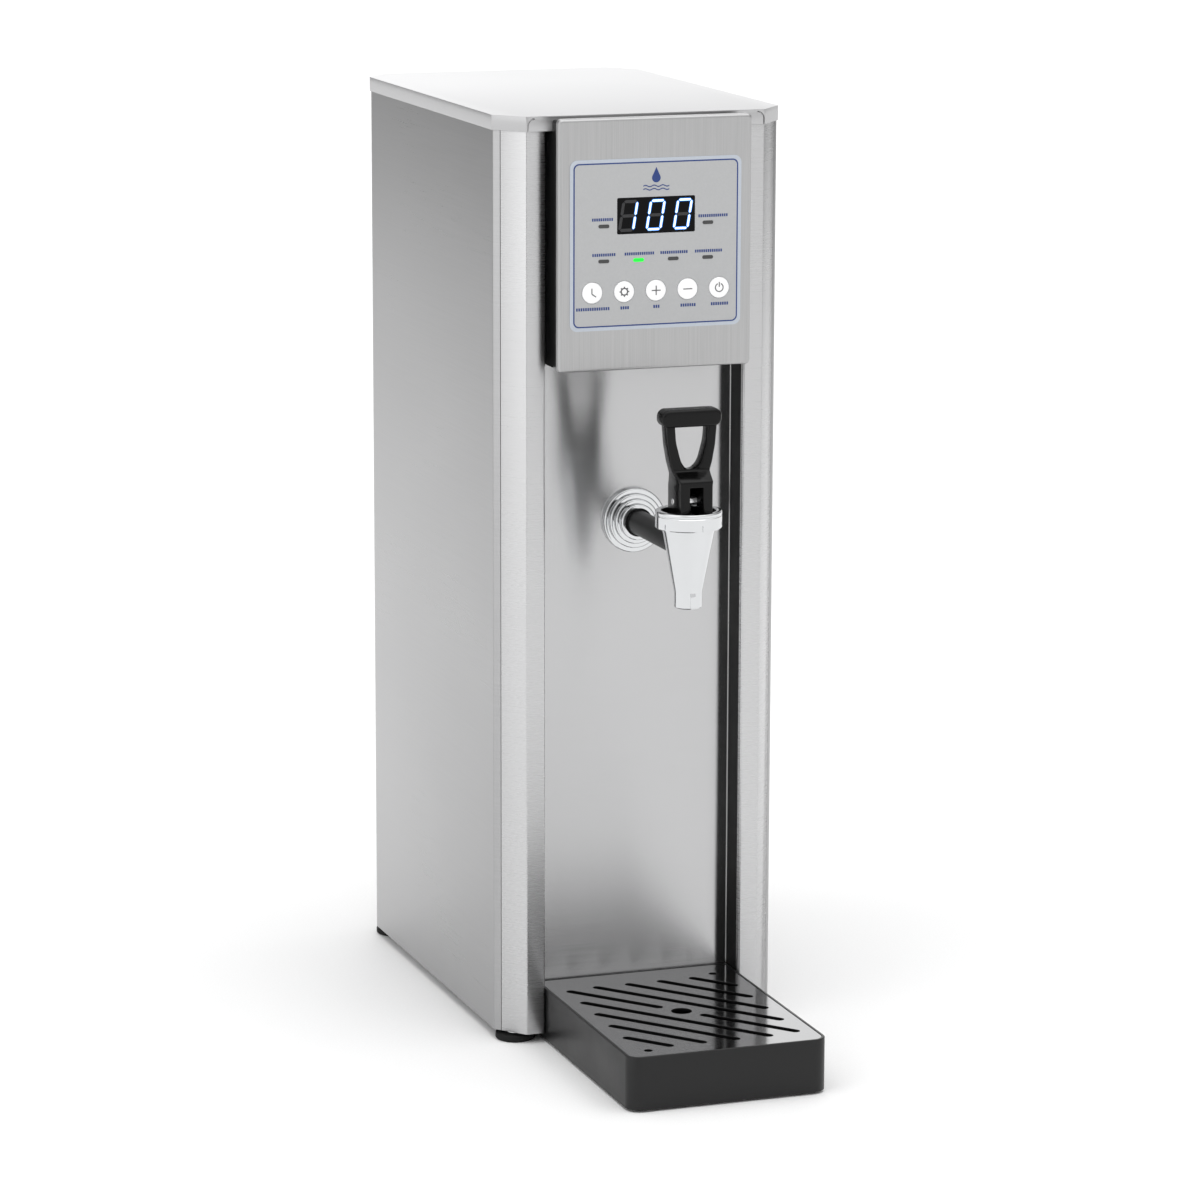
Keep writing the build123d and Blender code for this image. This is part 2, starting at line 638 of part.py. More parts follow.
def tray_layer(inset, z, rear_r):
    """Block inside the tray's outline, with its larger corners in front."""
    x = (-TRAY_HALF + inset, TRAY_HALF - inset)
    layer = block(x, (TRAY_FRONT + inset, TRAY_REAR - inset), z)
    layer = fillet(layer.edges().filter_by(Axis.Z).group_by(Axis.Y)[-1], rear_r)
    return fillet(layer.edges().filter_by(Axis.Z).group_by(Axis.Y)[0], TRAY_R - inset)


def drip_tray():
    """Black basin with a thin rim and a ledge for the grid."""
    outer = tray_layer(0, TRAY_Z, TRAY_REAR_R)
    outer = fillet(outer.faces().sort_by(Axis.Z)[0].edges(), TRAY_EDGE_R)
    ledge = TRAY_Z[1] - GRID_DROP - GRID_THICK - LEDGE_GAP
    top = tray_layer(TRAY_RIM, (ledge, TRAY_Z[1] + 1), TRAY_INNER_R)
    basin = tray_layer(TRAY_WALL, (TRAY_Z[0] + 2.2, ledge + 0.1), TRAY_INNER_R)
    return outer - top - basin


def slot_ends(offset):
    """Both ends of the slot line that is `offset` above the middle one."""
    left = max(-SLOT_FIELD_X, (offset - SLOT_FIELD_Y) / SLOT_SLOPE)
    right = min(SLOT_FIELD_X, (offset + SLOT_FIELD_Y) / SLOT_SLOPE)
    start = (left, offset - SLOT_SLOPE * left)
    end = (right, offset - SLOT_SLOPE * right)
    return start, end


def slot_cutter(start, end):
    """Slot with rounded ends between two points of the grid."""
    run_x = end[0] - start[0]
    run_y = end[1] - start[1]
    length = math.hypot(run_x, run_y)
    angle = math.degrees(math.atan2(run_y, run_x))
    middle = ((start[0] + end[0]) / 2, SLOT_CENTRE_Y + (start[1] + end[1]) / 2)
    slot = Rot(0, 0, angle) * SlotCenterToCenter(length, SLOT_WIDTH)
    return extrude(Pos(middle[0], middle[1], TRAY_Z[1] - 10) * slot, 20)


def drip_grid():
    """Steel grid with diagonal slots, a finger hole and two corner holes."""
    high = TRAY_Z[1] - GRID_DROP
    edge = TRAY_RIM + GRID_PLAY
    grid = tray_layer(edge, (high - GRID_THICK, high), TRAY_INNER_R)
    gap = 11.2
    for line in range(-SLOT_LINES, SLOT_LINES + 1):
        start, end = slot_ends(SLOT_PITCH_Y * line)
        if line:
            grid = grid - slot_cutter(start, end)
        else:
            grid = grid - slot_cutter(start, (-gap, SLOT_SLOPE * gap))
            grid = grid - slot_cutter((gap, -SLOT_SLOPE * gap), end)
    grid = grid - rod(0, SLOT_CENTRE_Y, (high - 5, high + 5), FINGER_HOLE_R)
    for side in (-1, 1):
        y = SLOT_CENTRE_Y + side * CORNER_HOLE_Y
        grid = grid - rod(side * CORNER_HOLE_X, y, (high - 5, high + 5), CORNER_HOLE_R)
    return grid


def tray_pads():
    """Small rubber pads under the tray."""
    pads = []
    for x in (-54, 54):
        for y in (TRAY_FRONT + 16, TRAY_REAR - 16):
            pads.append(rod(x, y, (0, TRAY_Z[0]), 6.0))
    return Compound(pads)


# ------------------------------------------------------------------ inside

def water_tank():
    """Open-topped steel tank with a flange for its lid."""
    x = (-TANK_HALF, TANK_HALF)
    flange_z = (TANK_Z[1] - LID_SHEET, TANK_Z[1])
    tank = rounded(x, TANK_Y, TANK_Z, TANK_R)
    tank = tank + rounded((x[0] - 7, x[1] + 7), (TANK_Y[0] - 7, TANK_Y[1] + 7), flange_z, TANK_R)
    inside_x = (x[0] + TANK_SHEET, x[1] - TANK_SHEET)
    inside_y = (TANK_Y[0] + TANK_SHEET, TANK_Y[1] - TANK_SHEET)
    inside_z = (TANK_Z[0] + TANK_SHEET, TANK_Z[1] + 1)
    inside = rounded(inside_x, inside_y, inside_z, TANK_R - TANK_SHEET)
    tank = tank - inside - lid_screw_holes()
    tank = tank - rod(0, (TANK_Y[0] - 5, TANK_Y[0] + 5), TANK_Z[0] + 20, OUTLET_R)
    tank = tank - rod(DRAIN[0], 100, (TANK_Z[0] - 5, TANK_Z[0] + 5), DRAIN_R)
    tank = tank - rod(INLET[0], (TANK_Y[1] - 5, TANK_Y[1] + 5), TANK_Z[0] + 30, DRAIN_R)
    return tank - rod(0, (TANK_Y[1] - 5, TANK_Y[1] + 5), TANK_Z[0] + 55, 17)


def tank_lid_layer(low, high):
    """Flat plate with the outline of the tank's flange."""
    return rounded((-TANK_HALF - 7, TANK_HALF + 7), (TANK_Y[0] - 7, TANK_Y[1] + 7), (low, high), TANK_R)


def lid_screw_places():
    """Screws around the tank's lid."""
    places = []
    for x in (-TANK_HALF - 3, TANK_HALF + 3):
        for y in (0, 72, 144):
            places.append((x, y))
    return places


def lid_screw_holes():
    """Cutters for the screws of the lid."""
    z = (TANK_Z[1] - 5, TANK_Z[1] + 10)
    return Compound([rod(x, y, z, SCREW_HOLE_R) for x, y in lid_screw_places()])


def lid_gasket():
    """Flat seal between the tank and its lid."""
    seal = tank_lid_layer(TANK_Z[1], TANK_Z[1] + GASKET)
    hole = rounded((-TANK_HALF + 2, TANK_HALF - 2), (TANK_Y[0] + 2, TANK_Y[1] - 2),
                   (TANK_Z[1] - 1, TANK_Z[1] + 5), TANK_R - 2)
    return seal - hole - lid_screw_holes()


def tank_lid():
    """Lid of the tank, with holes for the probes and the vent."""
    low = TANK_Z[1] + GASKET
    lid = tank_lid_layer(low, low + LID_SHEET)
    for x, y in ((-30, 40), (30, 40), (0, 110)):
        lid = lid - rod(x, y, (low - 1, low + 5), 5)
    return lid - lid_screw_holes()


def tank_jacket():
    """Insulating felt wrapped round the four sides of the tank."""
    z = (TANK_Z[0] + 4, TANK_Z[1] - 12)
    grow = JACKET
    outer = rounded((-TANK_HALF - grow, TANK_HALF + grow), (TANK_Y[0] - grow, TANK_Y[1] + grow), z,
                    TANK_R + grow)
    inner = rounded((-TANK_HALF, TANK_HALF), TANK_Y, (z[0] - 1, z[1] + 1), TANK_R)
    jacket = outer - inner
    jacket = jacket - rod(0, (TANK_Y[0] - 20, TANK_Y[0] + 5), TANK_Z[0] + 20, OUTLET_R + 1)
    jacket = jacket - rod(INLET[0], (TANK_Y[1] - 5, TANK_Y[1] + 20), TANK_Z[0] + 30, DRAIN_R + 1)
    return jacket - rod(0, (TANK_Y[1] - 5, TANK_Y[1] + 20), TANK_Z[0] + 55, 30)


def heating_element():
    """Hairpin heater on its round flange at the back of the tank."""
    z = TANK_Z[0] + 55
    flange = rod(0, (TANK_Y[1] + 2, TANK_Y[1] + 5), z, 26)
    rear = TANK_Y[1] + 5
    element = flange
    for x in (-11, 11):
        element = element + rod(x, (20, rear + 12), z, 4)
    bend = Pos(0, 20, z) * Torus(11, 4)
    element = element + (bend & block((-20, 20), (0, 20), (z - 6, z + 6)))
    return element


def heater_gasket():
    """Ring seal under the heater's flange."""
    z = TANK_Z[0] + 55
    return rod(0, (TANK_Y[1], TANK_Y[1] + 2), z, 24) - rod(0, (TANK_Y[1] - 1, TANK_Y[1] + 3), z, 17)


def tank_seals():
    """Both seals of the tank."""
    return Compound([lid_gasket(), heater_gasket()])


def probe(x, y, low, head_r):
    """Probe with a hexagon head on the lid."""
    top = TANK_Z[1] + GASKET + LID_SHEET
    head = Pos(x, y, top) * extrude(RegularPolygon(head_r, 6), 8)
    return head + rod(x, y, (low, top + 16), 3)


def tank_probes():
    """Level probe and temperature probe in the lid."""
    return Compound([probe(-30, 40, TANK_Z[0] + 80, 8), probe(30, 40, TANK_Z[0] + 40, 8)])


def vent_pipe():
    """Steam vent from the lid, turned down behind the tank."""
    top = TANK_Z[1] + GASKET + LID_SHEET
    corners = [(0, 110, top - 6), (0, 110, top + 22), (0, 197, top + 22), (0, 197, top - 60)]
    path = FilletPolyline(*corners, radius=14)
    tube = sweep(Plane(origin=path @ 0, z_dir=path % 0) * Circle(4.9), path)
    hollow = sweep(Plane(origin=path @ 0, z_dir=path % 0) * Circle(3.4), path)
    return tube - hollow


def overheat_cutout():
    """Thermal cut-out clamped to the tank's lid."""
    top = TANK_Z[1] + GASKET + LID_SHEET
    body = rod(-45, 120, (top, top + 9), 11)
    left_tab = block((-52, -50), (117, 123), (top + 9, top + 17))
    right_tab = block((-40, -38), (117, 123), (top + 9, top + 17))
    return body + left_tab + right_tab


def tank_brackets():
    """Two bent stands that carry the tank above the base."""
    stands = []
    for y in (10, 134):
        z = (BODY_BOTTOM + BASE_SHEET, TANK_Z[0])
        web = block((-60, 60), (y - 1, y + 1), z)
        web = web - upright((-54, 54), (y - 5, y + 5), (z[0] + 25, z[1] - 25), 10)
        foot = block((-60, 60), (y - 1, y + 14), (z[0], z[0] + 2))
        head = block((-60, 60), (y - 1, y + 14), (z[1] - 2, z[1]))
        stands.append(web + foot + head)
    return Compound(stands)


def outlet_hose():
    """Silicone hose from the front of the tank up to the end of the shank."""
    low = TANK_Z[0] + 20
    high = SHANK_Z + SHANK_R
    stub = rod(0, (HOSE_Y, TANK_Y[0] + 2), low, OUTLET_R)
    rise = rod(0, HOSE_Y, (low - OUTLET_R, high + 2), OUTLET_R + HOSE_WALL)
    hollow = rod(0, HOSE_Y, (low - OUTLET_R + 2, SHANK_Z + 4), OUTLET_R - 1)
    shank = rod(0, (RECESS_Y, HOSE_Y + 0.01), SHANK_Z, SHANK_R)
    return stub + rise - hollow - shank


def inlet_valve():
    """Solenoid valve body with its threaded inlet through the rear panel."""
    x, z = INLET
    inner = BODY_REAR - 2 * SHEET
    body = block((x - 17, x + 17), (inner - 48, inner - 6), (z - 15, z + 15))
    flange = rod(x, (inner - 6, inner), z, 19)
    neck = rod(x, (inner, INLET_FOOT), z, INLET_R - 0.4)
    thread = rod(x, (INLET_FOOT, INLET_END), z, INLET_R)
    outlet = rod(x, inner - 34, (z - 5, z + 34), DRAIN_R)
    valve = body + flange + neck + thread + outlet
    return valve - rod(x, (inner - 20, INLET_END + 1), z, INLET_BORE)


def valve_coil():
    """Coil on the side of the inlet valve."""
    x, z = INLET
    y = BODY_REAR - 2 * SHEET - 27
    return rounded((x + 17, x + 45), (y - 15, y + 15), (z - 14, z + 14), 5)


def inlet_pipe():
    """Pipe from the inlet valve up to the tank's wall."""
    x, z = INLET
    y = BODY_REAR - 2 * SHEET - 34
    top = TANK_Z[0] + 30
    path = FilletPolyline((x, y, z + 34), (x, y, top), (x, TANK_Y[1] - 3, top), radius=9)
    tube = sweep(Plane(origin=path @ 0, z_dir=path % 0) * Circle(5.9), path)
    return tube - sweep(Plane(origin=path @ 0, z_dir=path % 0) * Circle(4.4), path)


def drain_cock():
    """Drain valve with a hose spigot behind the rear panel."""
    x, z = DRAIN
    inner = BODY_REAR - 2 * SHEET
    body = rod(x, (inner - 30, DRAIN_FACE), z, DRAIN_R + 2.5)
    flange = rod(x, (inner - 4, inner), z, 13)
    spigot = rod(x, (DRAIN_FACE, DRAIN_END), z, DRAIN_R)
    boss = rod(x, DRAIN_HANDLE_Y, (z, z + 11), 4.5)
    cock = body + flange + spigot + boss
    return cock - rod(x, (inner - 25, DRAIN_END + 1), z, DRAIN_BORE)


def drain_handle():
    """Quarter-turn lever on top of the drain valve."""
    x, z = DRAIN
    y = DRAIN_HANDLE_Y
    low = z + 11.3
    hub = rod(x, y, (low, low + 6), 4.7)
    arm = rounded((x, x + 24), (y - 3.2, y + 3.2), (low + 1.5, low + 5), 3.1)
    return hub + arm


def drain_pipe():
    """Pipe from the tank's floor down and back to the drain valve."""
    x, z = DRAIN
    inner = BODY_REAR - 2 * SHEET
    path = FilletPolyline((x, 100, TANK_Z[0] + 2), (x, 100, z), (x, inner - 30, z), radius=18)
    tube = sweep(Plane(origin=path @ 0, z_dir=path % 0) * Circle(5.9), path)
    return tube - sweep(Plane(origin=path @ 0, z_dir=path % 0) * Circle(4.4), path)


def steel_pipes():
    """Inlet, drain and vent pipes."""
    return Compound([inlet_pipe(), drain_pipe(), vent_pipe()])


def cable_gland():
    """Gland for the power lead, with a nut on each side of the rear panel."""
    x, z = GLAND
    inner = BODY_REAR - 2 * SHEET
    points = [(GLAND_BORE, -12), (7.9, -12), (7.9, 2 * SHEET), (11.5, 2 * SHEET), (11.5, 8), (9.5, 10),
              (7.5, 19), (GLAND_BORE, 19)]
    body = Pos(x, inner, z) * Rot(-90, 0, 0) * turned(points)
    nut = Pos(x, inner - 5, z) * Rot(-90, 0, 0) * extrude(RegularPolygon(12, 6), 5)
    hex_zone = Pos(x, inner - 13, z) * Rot(-90, 0, 0) * extrude(RegularPolygon(11.6, 6), 40)
    return (body & hex_zone) + (nut - rod(x, (inner - 20, inner + 20), z, 7.0))


def switch_frame():
    """Frame of the mains rocker switch."""
    x, z = SWITCH
    half_x, half_z = SWITCH_HALF
    frame = upright((x - half_x - 4, x + half_x + 4), (BODY_REAR - SHEET, BODY_REAR + 1.6),
                    (z - half_z - 4, z + half_z + 4), 2.5)
    barrel = block((x - half_x - 1.4, x + half_x + 1.4), (BODY_REAR - 24, BODY_REAR - SHEET),
                   (z - half_z - 1.4, z + half_z + 1.4))
    hollow = block((x - half_x, x + half_x), (BODY_REAR - 14, BODY_REAR + 5), (z - half_z, z + half_z))
    hollow = hollow + rod((x - half_x - 1, x + half_x + 1), BODY_REAR - 3, z, TRUNNION_R + 0.08)
    pins = block((x - 4, x + 4), (BODY_REAR - 29, BODY_REAR - 24), (z - 8, z - 7))
    pins = pins + block((x - 4, x + 4), (BODY_REAR - 29, BODY_REAR - 24), (z + 7, z + 8))
    return frame + barrel + pins - hollow


def switch_rocker():
    """Rocker of the mains switch, pressed in at its lower end."""
    x, z = SWITCH
    half_x = SWITCH_HALF[0] - 0.5
    outline = [(-5, 0), (0, -10.4), (1.6, -10.6), (4.0, 0), (7.0, 10.6), (0, 10.4)]
    face = make_face(Plane.YZ * Polyline(outline, close=True))
    rocker = Pos(x, BODY_REAR - 3, z) * extrude(face, half_x, both=True)
    return rocker + rod((x - half_x - 1.3, x + half_x + 1.3), BODY_REAR - 3, z, TRUNNION_R)


def power_board():
    """Power board with its heatsink and relay, on the base plate."""
    low = BODY_BOTTOM + BASE_SHEET + 8
    board = block((-82, -22), (30, 120), (low, low + 1.6))
    relay = block((-50, -30), (40, 70), (low + 1.6, low + 18))
    transformer = block((-78, -56), (80, 112), (low + 1.6, low + 24))
    sink = block((-78, -58), (36, 40), (low + 1.6, low + 28))
    return board + relay + transformer + sink


def board_standoffs():
    """Stand-offs behind the control board and under the power board."""
    rear = RECESS_Y - HOUSING_WALL
    low = BODY_BOTTOM + BASE_SHEET
    posts = [rod(x, (BOARD_Y + BOARD_THICK, rear), z, 3.0) for x in (-52, 52) for z in (496.5, 583.5)]
    posts += [rod(x, y, (low, low + 8), 3.0) for x in (-78, -26) for y in (34, 116)]
    return Compound(posts)


def terminal_block():
    """Mains terminals on the base plate."""
    low = BODY_BOTTOM + BASE_SHEET
    case = block((22, 58), (60, 82), (low, low + 16))
    for index in range(3):
        x = 28 + 12 * index
        case = case - rod(x, 71, (low + 8, low + 20), 3)
    return case


def build():
    """Make every sub-part and write it to its own file."""
    side = drilled_side_panel()
    post = front_post()
    lining = recess_lining()
    save("left_side_panel", side)
    save("right_side_panel", mirrored(side))
    save("left_front_post", post)
    save("right_front_post", mirrored(post))
    save("left_recess_lining", lining)
    save("right_recess_lining", mirrored(lining))
    for index, name in enumerate(BUTTON_NAMES):
        save(name, push_button(button_places()[index]))
    makers = [
        recess_panel, top_cap, base_plate, foot_pads, foot_studs, rear_panel, case_screws,
        control_fascia, control_housing, label_overlay, display_window, display_module,
        indicator_lamps, tactile_switches, control_board, board_standoffs,
        tap_rosette, tap_shank, shank_nut, tap_body, bonnet_ring, valve_stem, seat_cup, valve_spring,
        tap_lever, lever_pin, drip_tray, drip_grid, tray_pads,
        water_tank, tank_lid, tank_seals, tank_jacket, heating_element, tank_probes,
        overheat_cutout, tank_brackets, outlet_hose, steel_pipes,
        inlet_valve, valve_coil, drain_cock, drain_handle, cable_gland,
        switch_frame, switch_rocker, power_board, terminal_block,
    ]
    for maker in makers:
        save(maker.__name__, maker())


build()
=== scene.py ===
"""Looks of the countertop hot water dispenser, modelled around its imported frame."""
import logging
import math
from collections.abc import Callable
from dataclasses import dataclass
from enum import Enum

import bpy
from mathutils import Matrix, Vector


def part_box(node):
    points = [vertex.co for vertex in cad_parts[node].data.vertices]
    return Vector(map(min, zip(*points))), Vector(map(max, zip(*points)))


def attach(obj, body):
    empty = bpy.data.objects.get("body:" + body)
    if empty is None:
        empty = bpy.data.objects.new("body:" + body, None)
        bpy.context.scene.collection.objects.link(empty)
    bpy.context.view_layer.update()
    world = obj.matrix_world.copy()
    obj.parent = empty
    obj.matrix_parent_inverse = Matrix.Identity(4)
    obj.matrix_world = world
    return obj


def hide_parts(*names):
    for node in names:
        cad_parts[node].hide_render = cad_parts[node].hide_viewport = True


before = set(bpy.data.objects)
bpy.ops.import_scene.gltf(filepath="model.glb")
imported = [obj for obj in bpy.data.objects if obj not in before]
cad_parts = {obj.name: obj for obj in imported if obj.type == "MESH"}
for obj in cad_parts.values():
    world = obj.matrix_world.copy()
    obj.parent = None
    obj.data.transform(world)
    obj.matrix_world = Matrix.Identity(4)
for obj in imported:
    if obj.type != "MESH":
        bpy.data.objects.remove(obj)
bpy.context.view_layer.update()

MM = 0.001
LOG = logging.getLogger("dispenser")

Point = tuple[float, float, float]
Colour = tuple[float, float, float]


# ---------------------------------------------------------------- modelling

class Along(Enum):
    """Direction that a turned piece's heights run in."""

    UP = "up"
    FORWARD = "forward"
    BACK = "back"


def deselect() -> None:
    """Leave nothing selected."""
    bpy.ops.object.select_all(action="DESELECT")


def activate(piece: bpy.types.Object) -> None:
    """Select one object alone.

    Args:
        piece: The object that the next operators act on.
    """
    deselect()
    piece.select_set(True)
    bpy.context.view_layer.objects.active = piece


def enter_edit(piece: bpy.types.Object) -> None:
    """Open an object in edit mode with everything selected.

    Args:
        piece: The object to edit.
    """
    activate(piece)
    bpy.ops.object.mode_set(mode="EDIT")
    bpy.ops.mesh.select_all(action="SELECT")


def leave_edit() -> None:
    """Go back to object mode."""
    bpy.ops.object.mode_set(mode="OBJECT")


def settle(piece: bpy.types.Object) -> bpy.types.Object:
    """Move an object's place, turn and size into its mesh.

    Args:
        piece: The object.

    Returns:
        The same object.
    """
    activate(piece)
    bpy.ops.object.transform_apply(location=True, rotation=True, scale=True)
    return piece


def apply_modifier(piece: bpy.types.Object, name: str) -> None:
    """Apply one modifier of an object.

    Args:
        piece: The object.
        name: The modifier's name.
    """
    activate(piece)
    bpy.ops.object.modifier_apply(modifier=name)


def bevel(piece: bpy.types.Object, width: float, segments: int = 3, angle: float = 40.0,
          clamp: bool = True) -> bpy.types.Object:
    """Round the sharp edges of an object.

    Args:
        piece: The object.
        width: Width of the rounding in metres.
        segments: Number of faces across it.
        angle: Edges sharper than this many degrees are rounded.
        clamp: Whether the rounding stops where it would meet another.

    Returns:
        The same object.
    """
    modifier = piece.modifiers.new("edges", "BEVEL")
    modifier.width = width
    modifier.segments = segments
    modifier.limit_method = "ANGLE"
    modifier.angle_limit = math.radians(angle)
    modifier.use_clamp_overlap = clamp
    apply_modifier(piece, "edges")
    return piece


def smooth(piece: bpy.types.Object, angle: float = 32.0) -> bpy.types.Object:
    """Shade an object smooth, with its sharp edges kept.

    Args:
        piece: The object.
        angle: Edges sharper than this many degrees stay sharp.

    Returns:
        The same object.
    """
    activate(piece)
    bpy.ops.object.shade_smooth_by_angle(angle=math.radians(angle))
    return piece


def flatten(piece: bpy.types.Object) -> bpy.types.Object:
    """Let the large faces of a smooth object set its normals, so that they stay flat.

    Args:
        piece: The object.

    Returns:
        The same object.
    """
    modifier = piece.modifiers.new("weights", "WEIGHTED_NORMAL")
    modifier.keep_sharp = True
    modifier.weight = 100
    apply_modifier(piece, "weights")
    return piece


def face_out(piece: bpy.types.Object) -> bpy.types.Object:
    """Merge doubled vertices and point every face outwards.

    Args:
        piece: The object.

    Returns:
        The same object.
    """
    enter_edit(piece)
    bpy.ops.mesh.remove_doubles(threshold=1e-6)
    bpy.ops.mesh.normals_make_consistent(inside=False)
    leave_edit()
    return piece


def chain(name: str, points: list[Point]) -> bpy.types.Object:
    """Edge chain through the points, drawn by extruding one vertex.

    Args:
        name: Name of the new object.
        points: Corners in metres.

    Returns:
        The new object, left in edit mode.
    """
    deselect()
    bpy.ops.mesh.primitive_plane_add(size=MM, location=(0, 0, 0))
    piece = bpy.context.active_object
    piece.name = name
    piece.data.name = name
    enter_edit(piece)
    bpy.ops.mesh.select_mode(type="VERT")
    bpy.ops.mesh.merge(type="CENTER")
    bpy.ops.transform.translate(value=points[0])
    for start, end in zip(points, points[1:]):
        step = Vector(end) - Vector(start)
        bpy.ops.mesh.extrude_region_move(TRANSFORM_OT_translate={"value": step})
    return piece


def prism(name: str, outline: list[Point], reach: Point) -> bpy.types.Object:
    """Closed outline filled and extruded.

    Args:
        name: Name of the new object.
        outline: Corners in metres, without repeating the first.
        reach: Direction and length of the extrusion.

    Returns:
        The new closed solid.
    """
    piece = chain(name, outline)
    bpy.ops.mesh.select_all(action="SELECT")
    bpy.ops.mesh.edge_face_add()
    bpy.ops.mesh.extrude_region_move(TRANSFORM_OT_translate={"value": reach})
    leave_edit()
    return face_out(piece)


def turned(name: str, centre: Point, profile: list[tuple[float, float]], along: Along = Along.UP,
           steps: int = 96) -> bpy.types.Object:
    """Solid of revolution, made by spinning a profile.

    Args:
        name: Name of the new object.
        centre: Point of the axis where heights are zero.
        profile: (radius, height) pairs in metres.
        along: Direction of the heights.
        steps: Faces round the axis.

    Returns:
        The new object.
    """
    cx, cy, cz = centre
    if along is Along.UP:
        points = [(cx + r, cy, cz + h) for r, h in profile]
        axis = (0, 0, 1)
    else:
        sign = -1 if along is Along.FORWARD else 1
        points = [(cx + r, cy + sign * h, cz) for r, h in profile]
        axis = (0, 1, 0)
    piece = chain(name, points)
    bpy.ops.mesh.select_all(action="SELECT")
    bpy.ops.mesh.spin(steps=steps, angle=math.tau, center=centre, axis=axis)
    bpy.ops.mesh.select_all(action="SELECT")
    bpy.ops.mesh.remove_doubles(threshold=2e-6)
    bpy.ops.mesh.normals_make_consistent(inside=False)
    leave_edit()
    return piece


def brick(name: str, low: Point, high: Point) -> bpy.types.Object:
    """Box between two corners, as a start for shaping.

    Args:
        name: Name of the new object.
        low: Lowest corner in metres.
        high: Highest corner in metres.

    Returns:
        The new object.
    """
    deselect()
    size = [h - l for l, h in zip(low, high)]
    middle = [(h + l) / 2 for l, h in zip(low, high)]
    bpy.ops.mesh.primitive_cube_add(size=1, location=middle, scale=size)
    piece = bpy.context.active_object
    piece.name = name
    piece.data.name = name
    return settle(piece)


def carve(piece: bpy.types.Object, cutter: bpy.types.Object,
          operation: str = "DIFFERENCE") -> bpy.types.Object:
    """Cut one object with another, which is used up.

    Args:
        piece: The object that stays.
        cutter: The object that cuts or is added.
        operation: Name of the boolean operation.

    Returns:
        The shaped object.
    """
    modifier = piece.modifiers.new("cut", "BOOLEAN")
    modifier.operation = operation
    modifier.solver = "EXACT"
    modifier.use_self = True
    modifier.object = cutter
    apply_modifier(piece, "cut")
    bpy.data.objects.remove(cutter)
    return piece


def join(pieces: list[bpy.types.Object], name: str) -> bpy.types.Object:
    """Join objects into one.

    Args:
        pieces: The objects.
        name: Name of the joined object.

    Returns:
        The joined object.
    """
    deselect()
    for piece in pieces:
        piece.select_set(True)
    bpy.context.view_layer.objects.active = pieces[0]
    if len(pieces) > 1:
        bpy.ops.object.join()
    joined = bpy.context.active_object
    joined.name = name
    joined.data.name = name
    return joined


def copied(piece: bpy.types.Object, move: Point, turn: float = 0.0) -> bpy.types.Object:
    """Copy an object with its own mesh, moved and turned about the vertical.

    Args:
        piece: The object to copy.
        move: How far the copy moves.
        turn: Degrees about the vertical through the origin, before the move.

    Returns:
        The copy.
    """
    twin = piece.copy()
    twin.data = piece.data.copy()
    bpy.context.collection.objects.link(twin)
    twin.data.transform(Matrix.Translation(move) @ Matrix.Rotation(math.radians(turn), 4, "Z"))
    return twin


def mirrored(piece: bpy.types.Object, name: str) -> bpy.types.Object:
    """Copy an object to the other side of the middle plane.

    Args:
        piece: The object to copy.
        name: Name of the copy.

    Returns:
        The copy, with its faces pointing outwards.
    """
    twin = piece.copy()
    twin.data = piece.data.copy()
    twin.name = name
    twin.data.name = name
    bpy.context.collection.objects.link(twin)
    twin.data.transform(Matrix.Scale(-1, 4, (1, 0, 0)))
    twin.data.flip_normals()
    return twin


def arc(centre: tuple[float, float], radius: float, start: float, end: float,
        steps: int = 8) -> list[tuple[float, float]]:
    """Points of a circular arc.

    Args:
        centre: Centre of the arc.
        radius: Radius.
        start: First angle in degrees.
        end: Last angle in degrees.
        steps: Number of pieces.

    Returns:
        The points, ends included.
    """
    points = []
    for index in range(steps + 1):
        angle = math.radians(start + (end - start) * index / steps)
        points.append((centre[0] + radius * math.cos(angle), centre[1] + radius * math.sin(angle)))
    return points


def rounded_corners(points: list[tuple[float, float]], radii: list[float], closed: bool,
                    steps: int = 6) -> list[tuple[float, float]]:
    """Polyline with its corners replaced by arcs.

    Args:
        points: Corners.
        radii: Radius at each corner; 0 leaves it sharp.
        closed: Whether the last point joins the first.
        steps: Pieces of each arc.

    Returns:
        Points of the rounded line.
    """
    result: list[tuple[float, float]] = []
    count = len(points)
    for index, (corner, radius) in enumerate(zip(points, radii)):
        ends = not closed and index in (0, count - 1)
        if ends or radius <= 0:
            result.append(corner)
            continue
        here = Vector(corner)
        before = (Vector(points[index - 1]) - here).normalized()
        after = (Vector(points[(index + 1) % count]) - here).normalized()
        half = before.angle(after) / 2
        setback = radius / math.tan(half)
        centre = here + (before + after).normalized() * radius / math.sin(half)
        first = here + before * setback - centre
        last = here + after * setback - centre
        sweep = first.angle_signed(last)
        for step in range(steps + 1):
            turn = Matrix.Rotation(-sweep * step / steps, 2)
            point = centre + turn @ first
            result.append((point.x, point.y))
    return result


def rounded_rectangle(low: tuple[float, float], high: tuple[float, float], radius: float,
                      steps: int = 8) -> list[tuple[float, float]]:
    """Outline of a rectangle with round corners.

    Args:
        low: Lowest corner.
        high: Highest corner.
        radius: Corner radius.
        steps: Pieces of each corner.

    Returns:
        The outline's points.
    """
    corners = [low, (high[0], low[1]), high, (low[0], high[1])]
    return rounded_corners(corners, [radius] * 4, True, steps)


def lift_xz(points: list[tuple[float, float]], y: float) -> list[Point]:
    """Place plane points on an upright plane that faces the front.

    Args:
        points: (x, z) pairs.
        y: Depth of the plane.

    Returns:
        Points in space.
    """
    return [(x, y, z) for x, z in points]


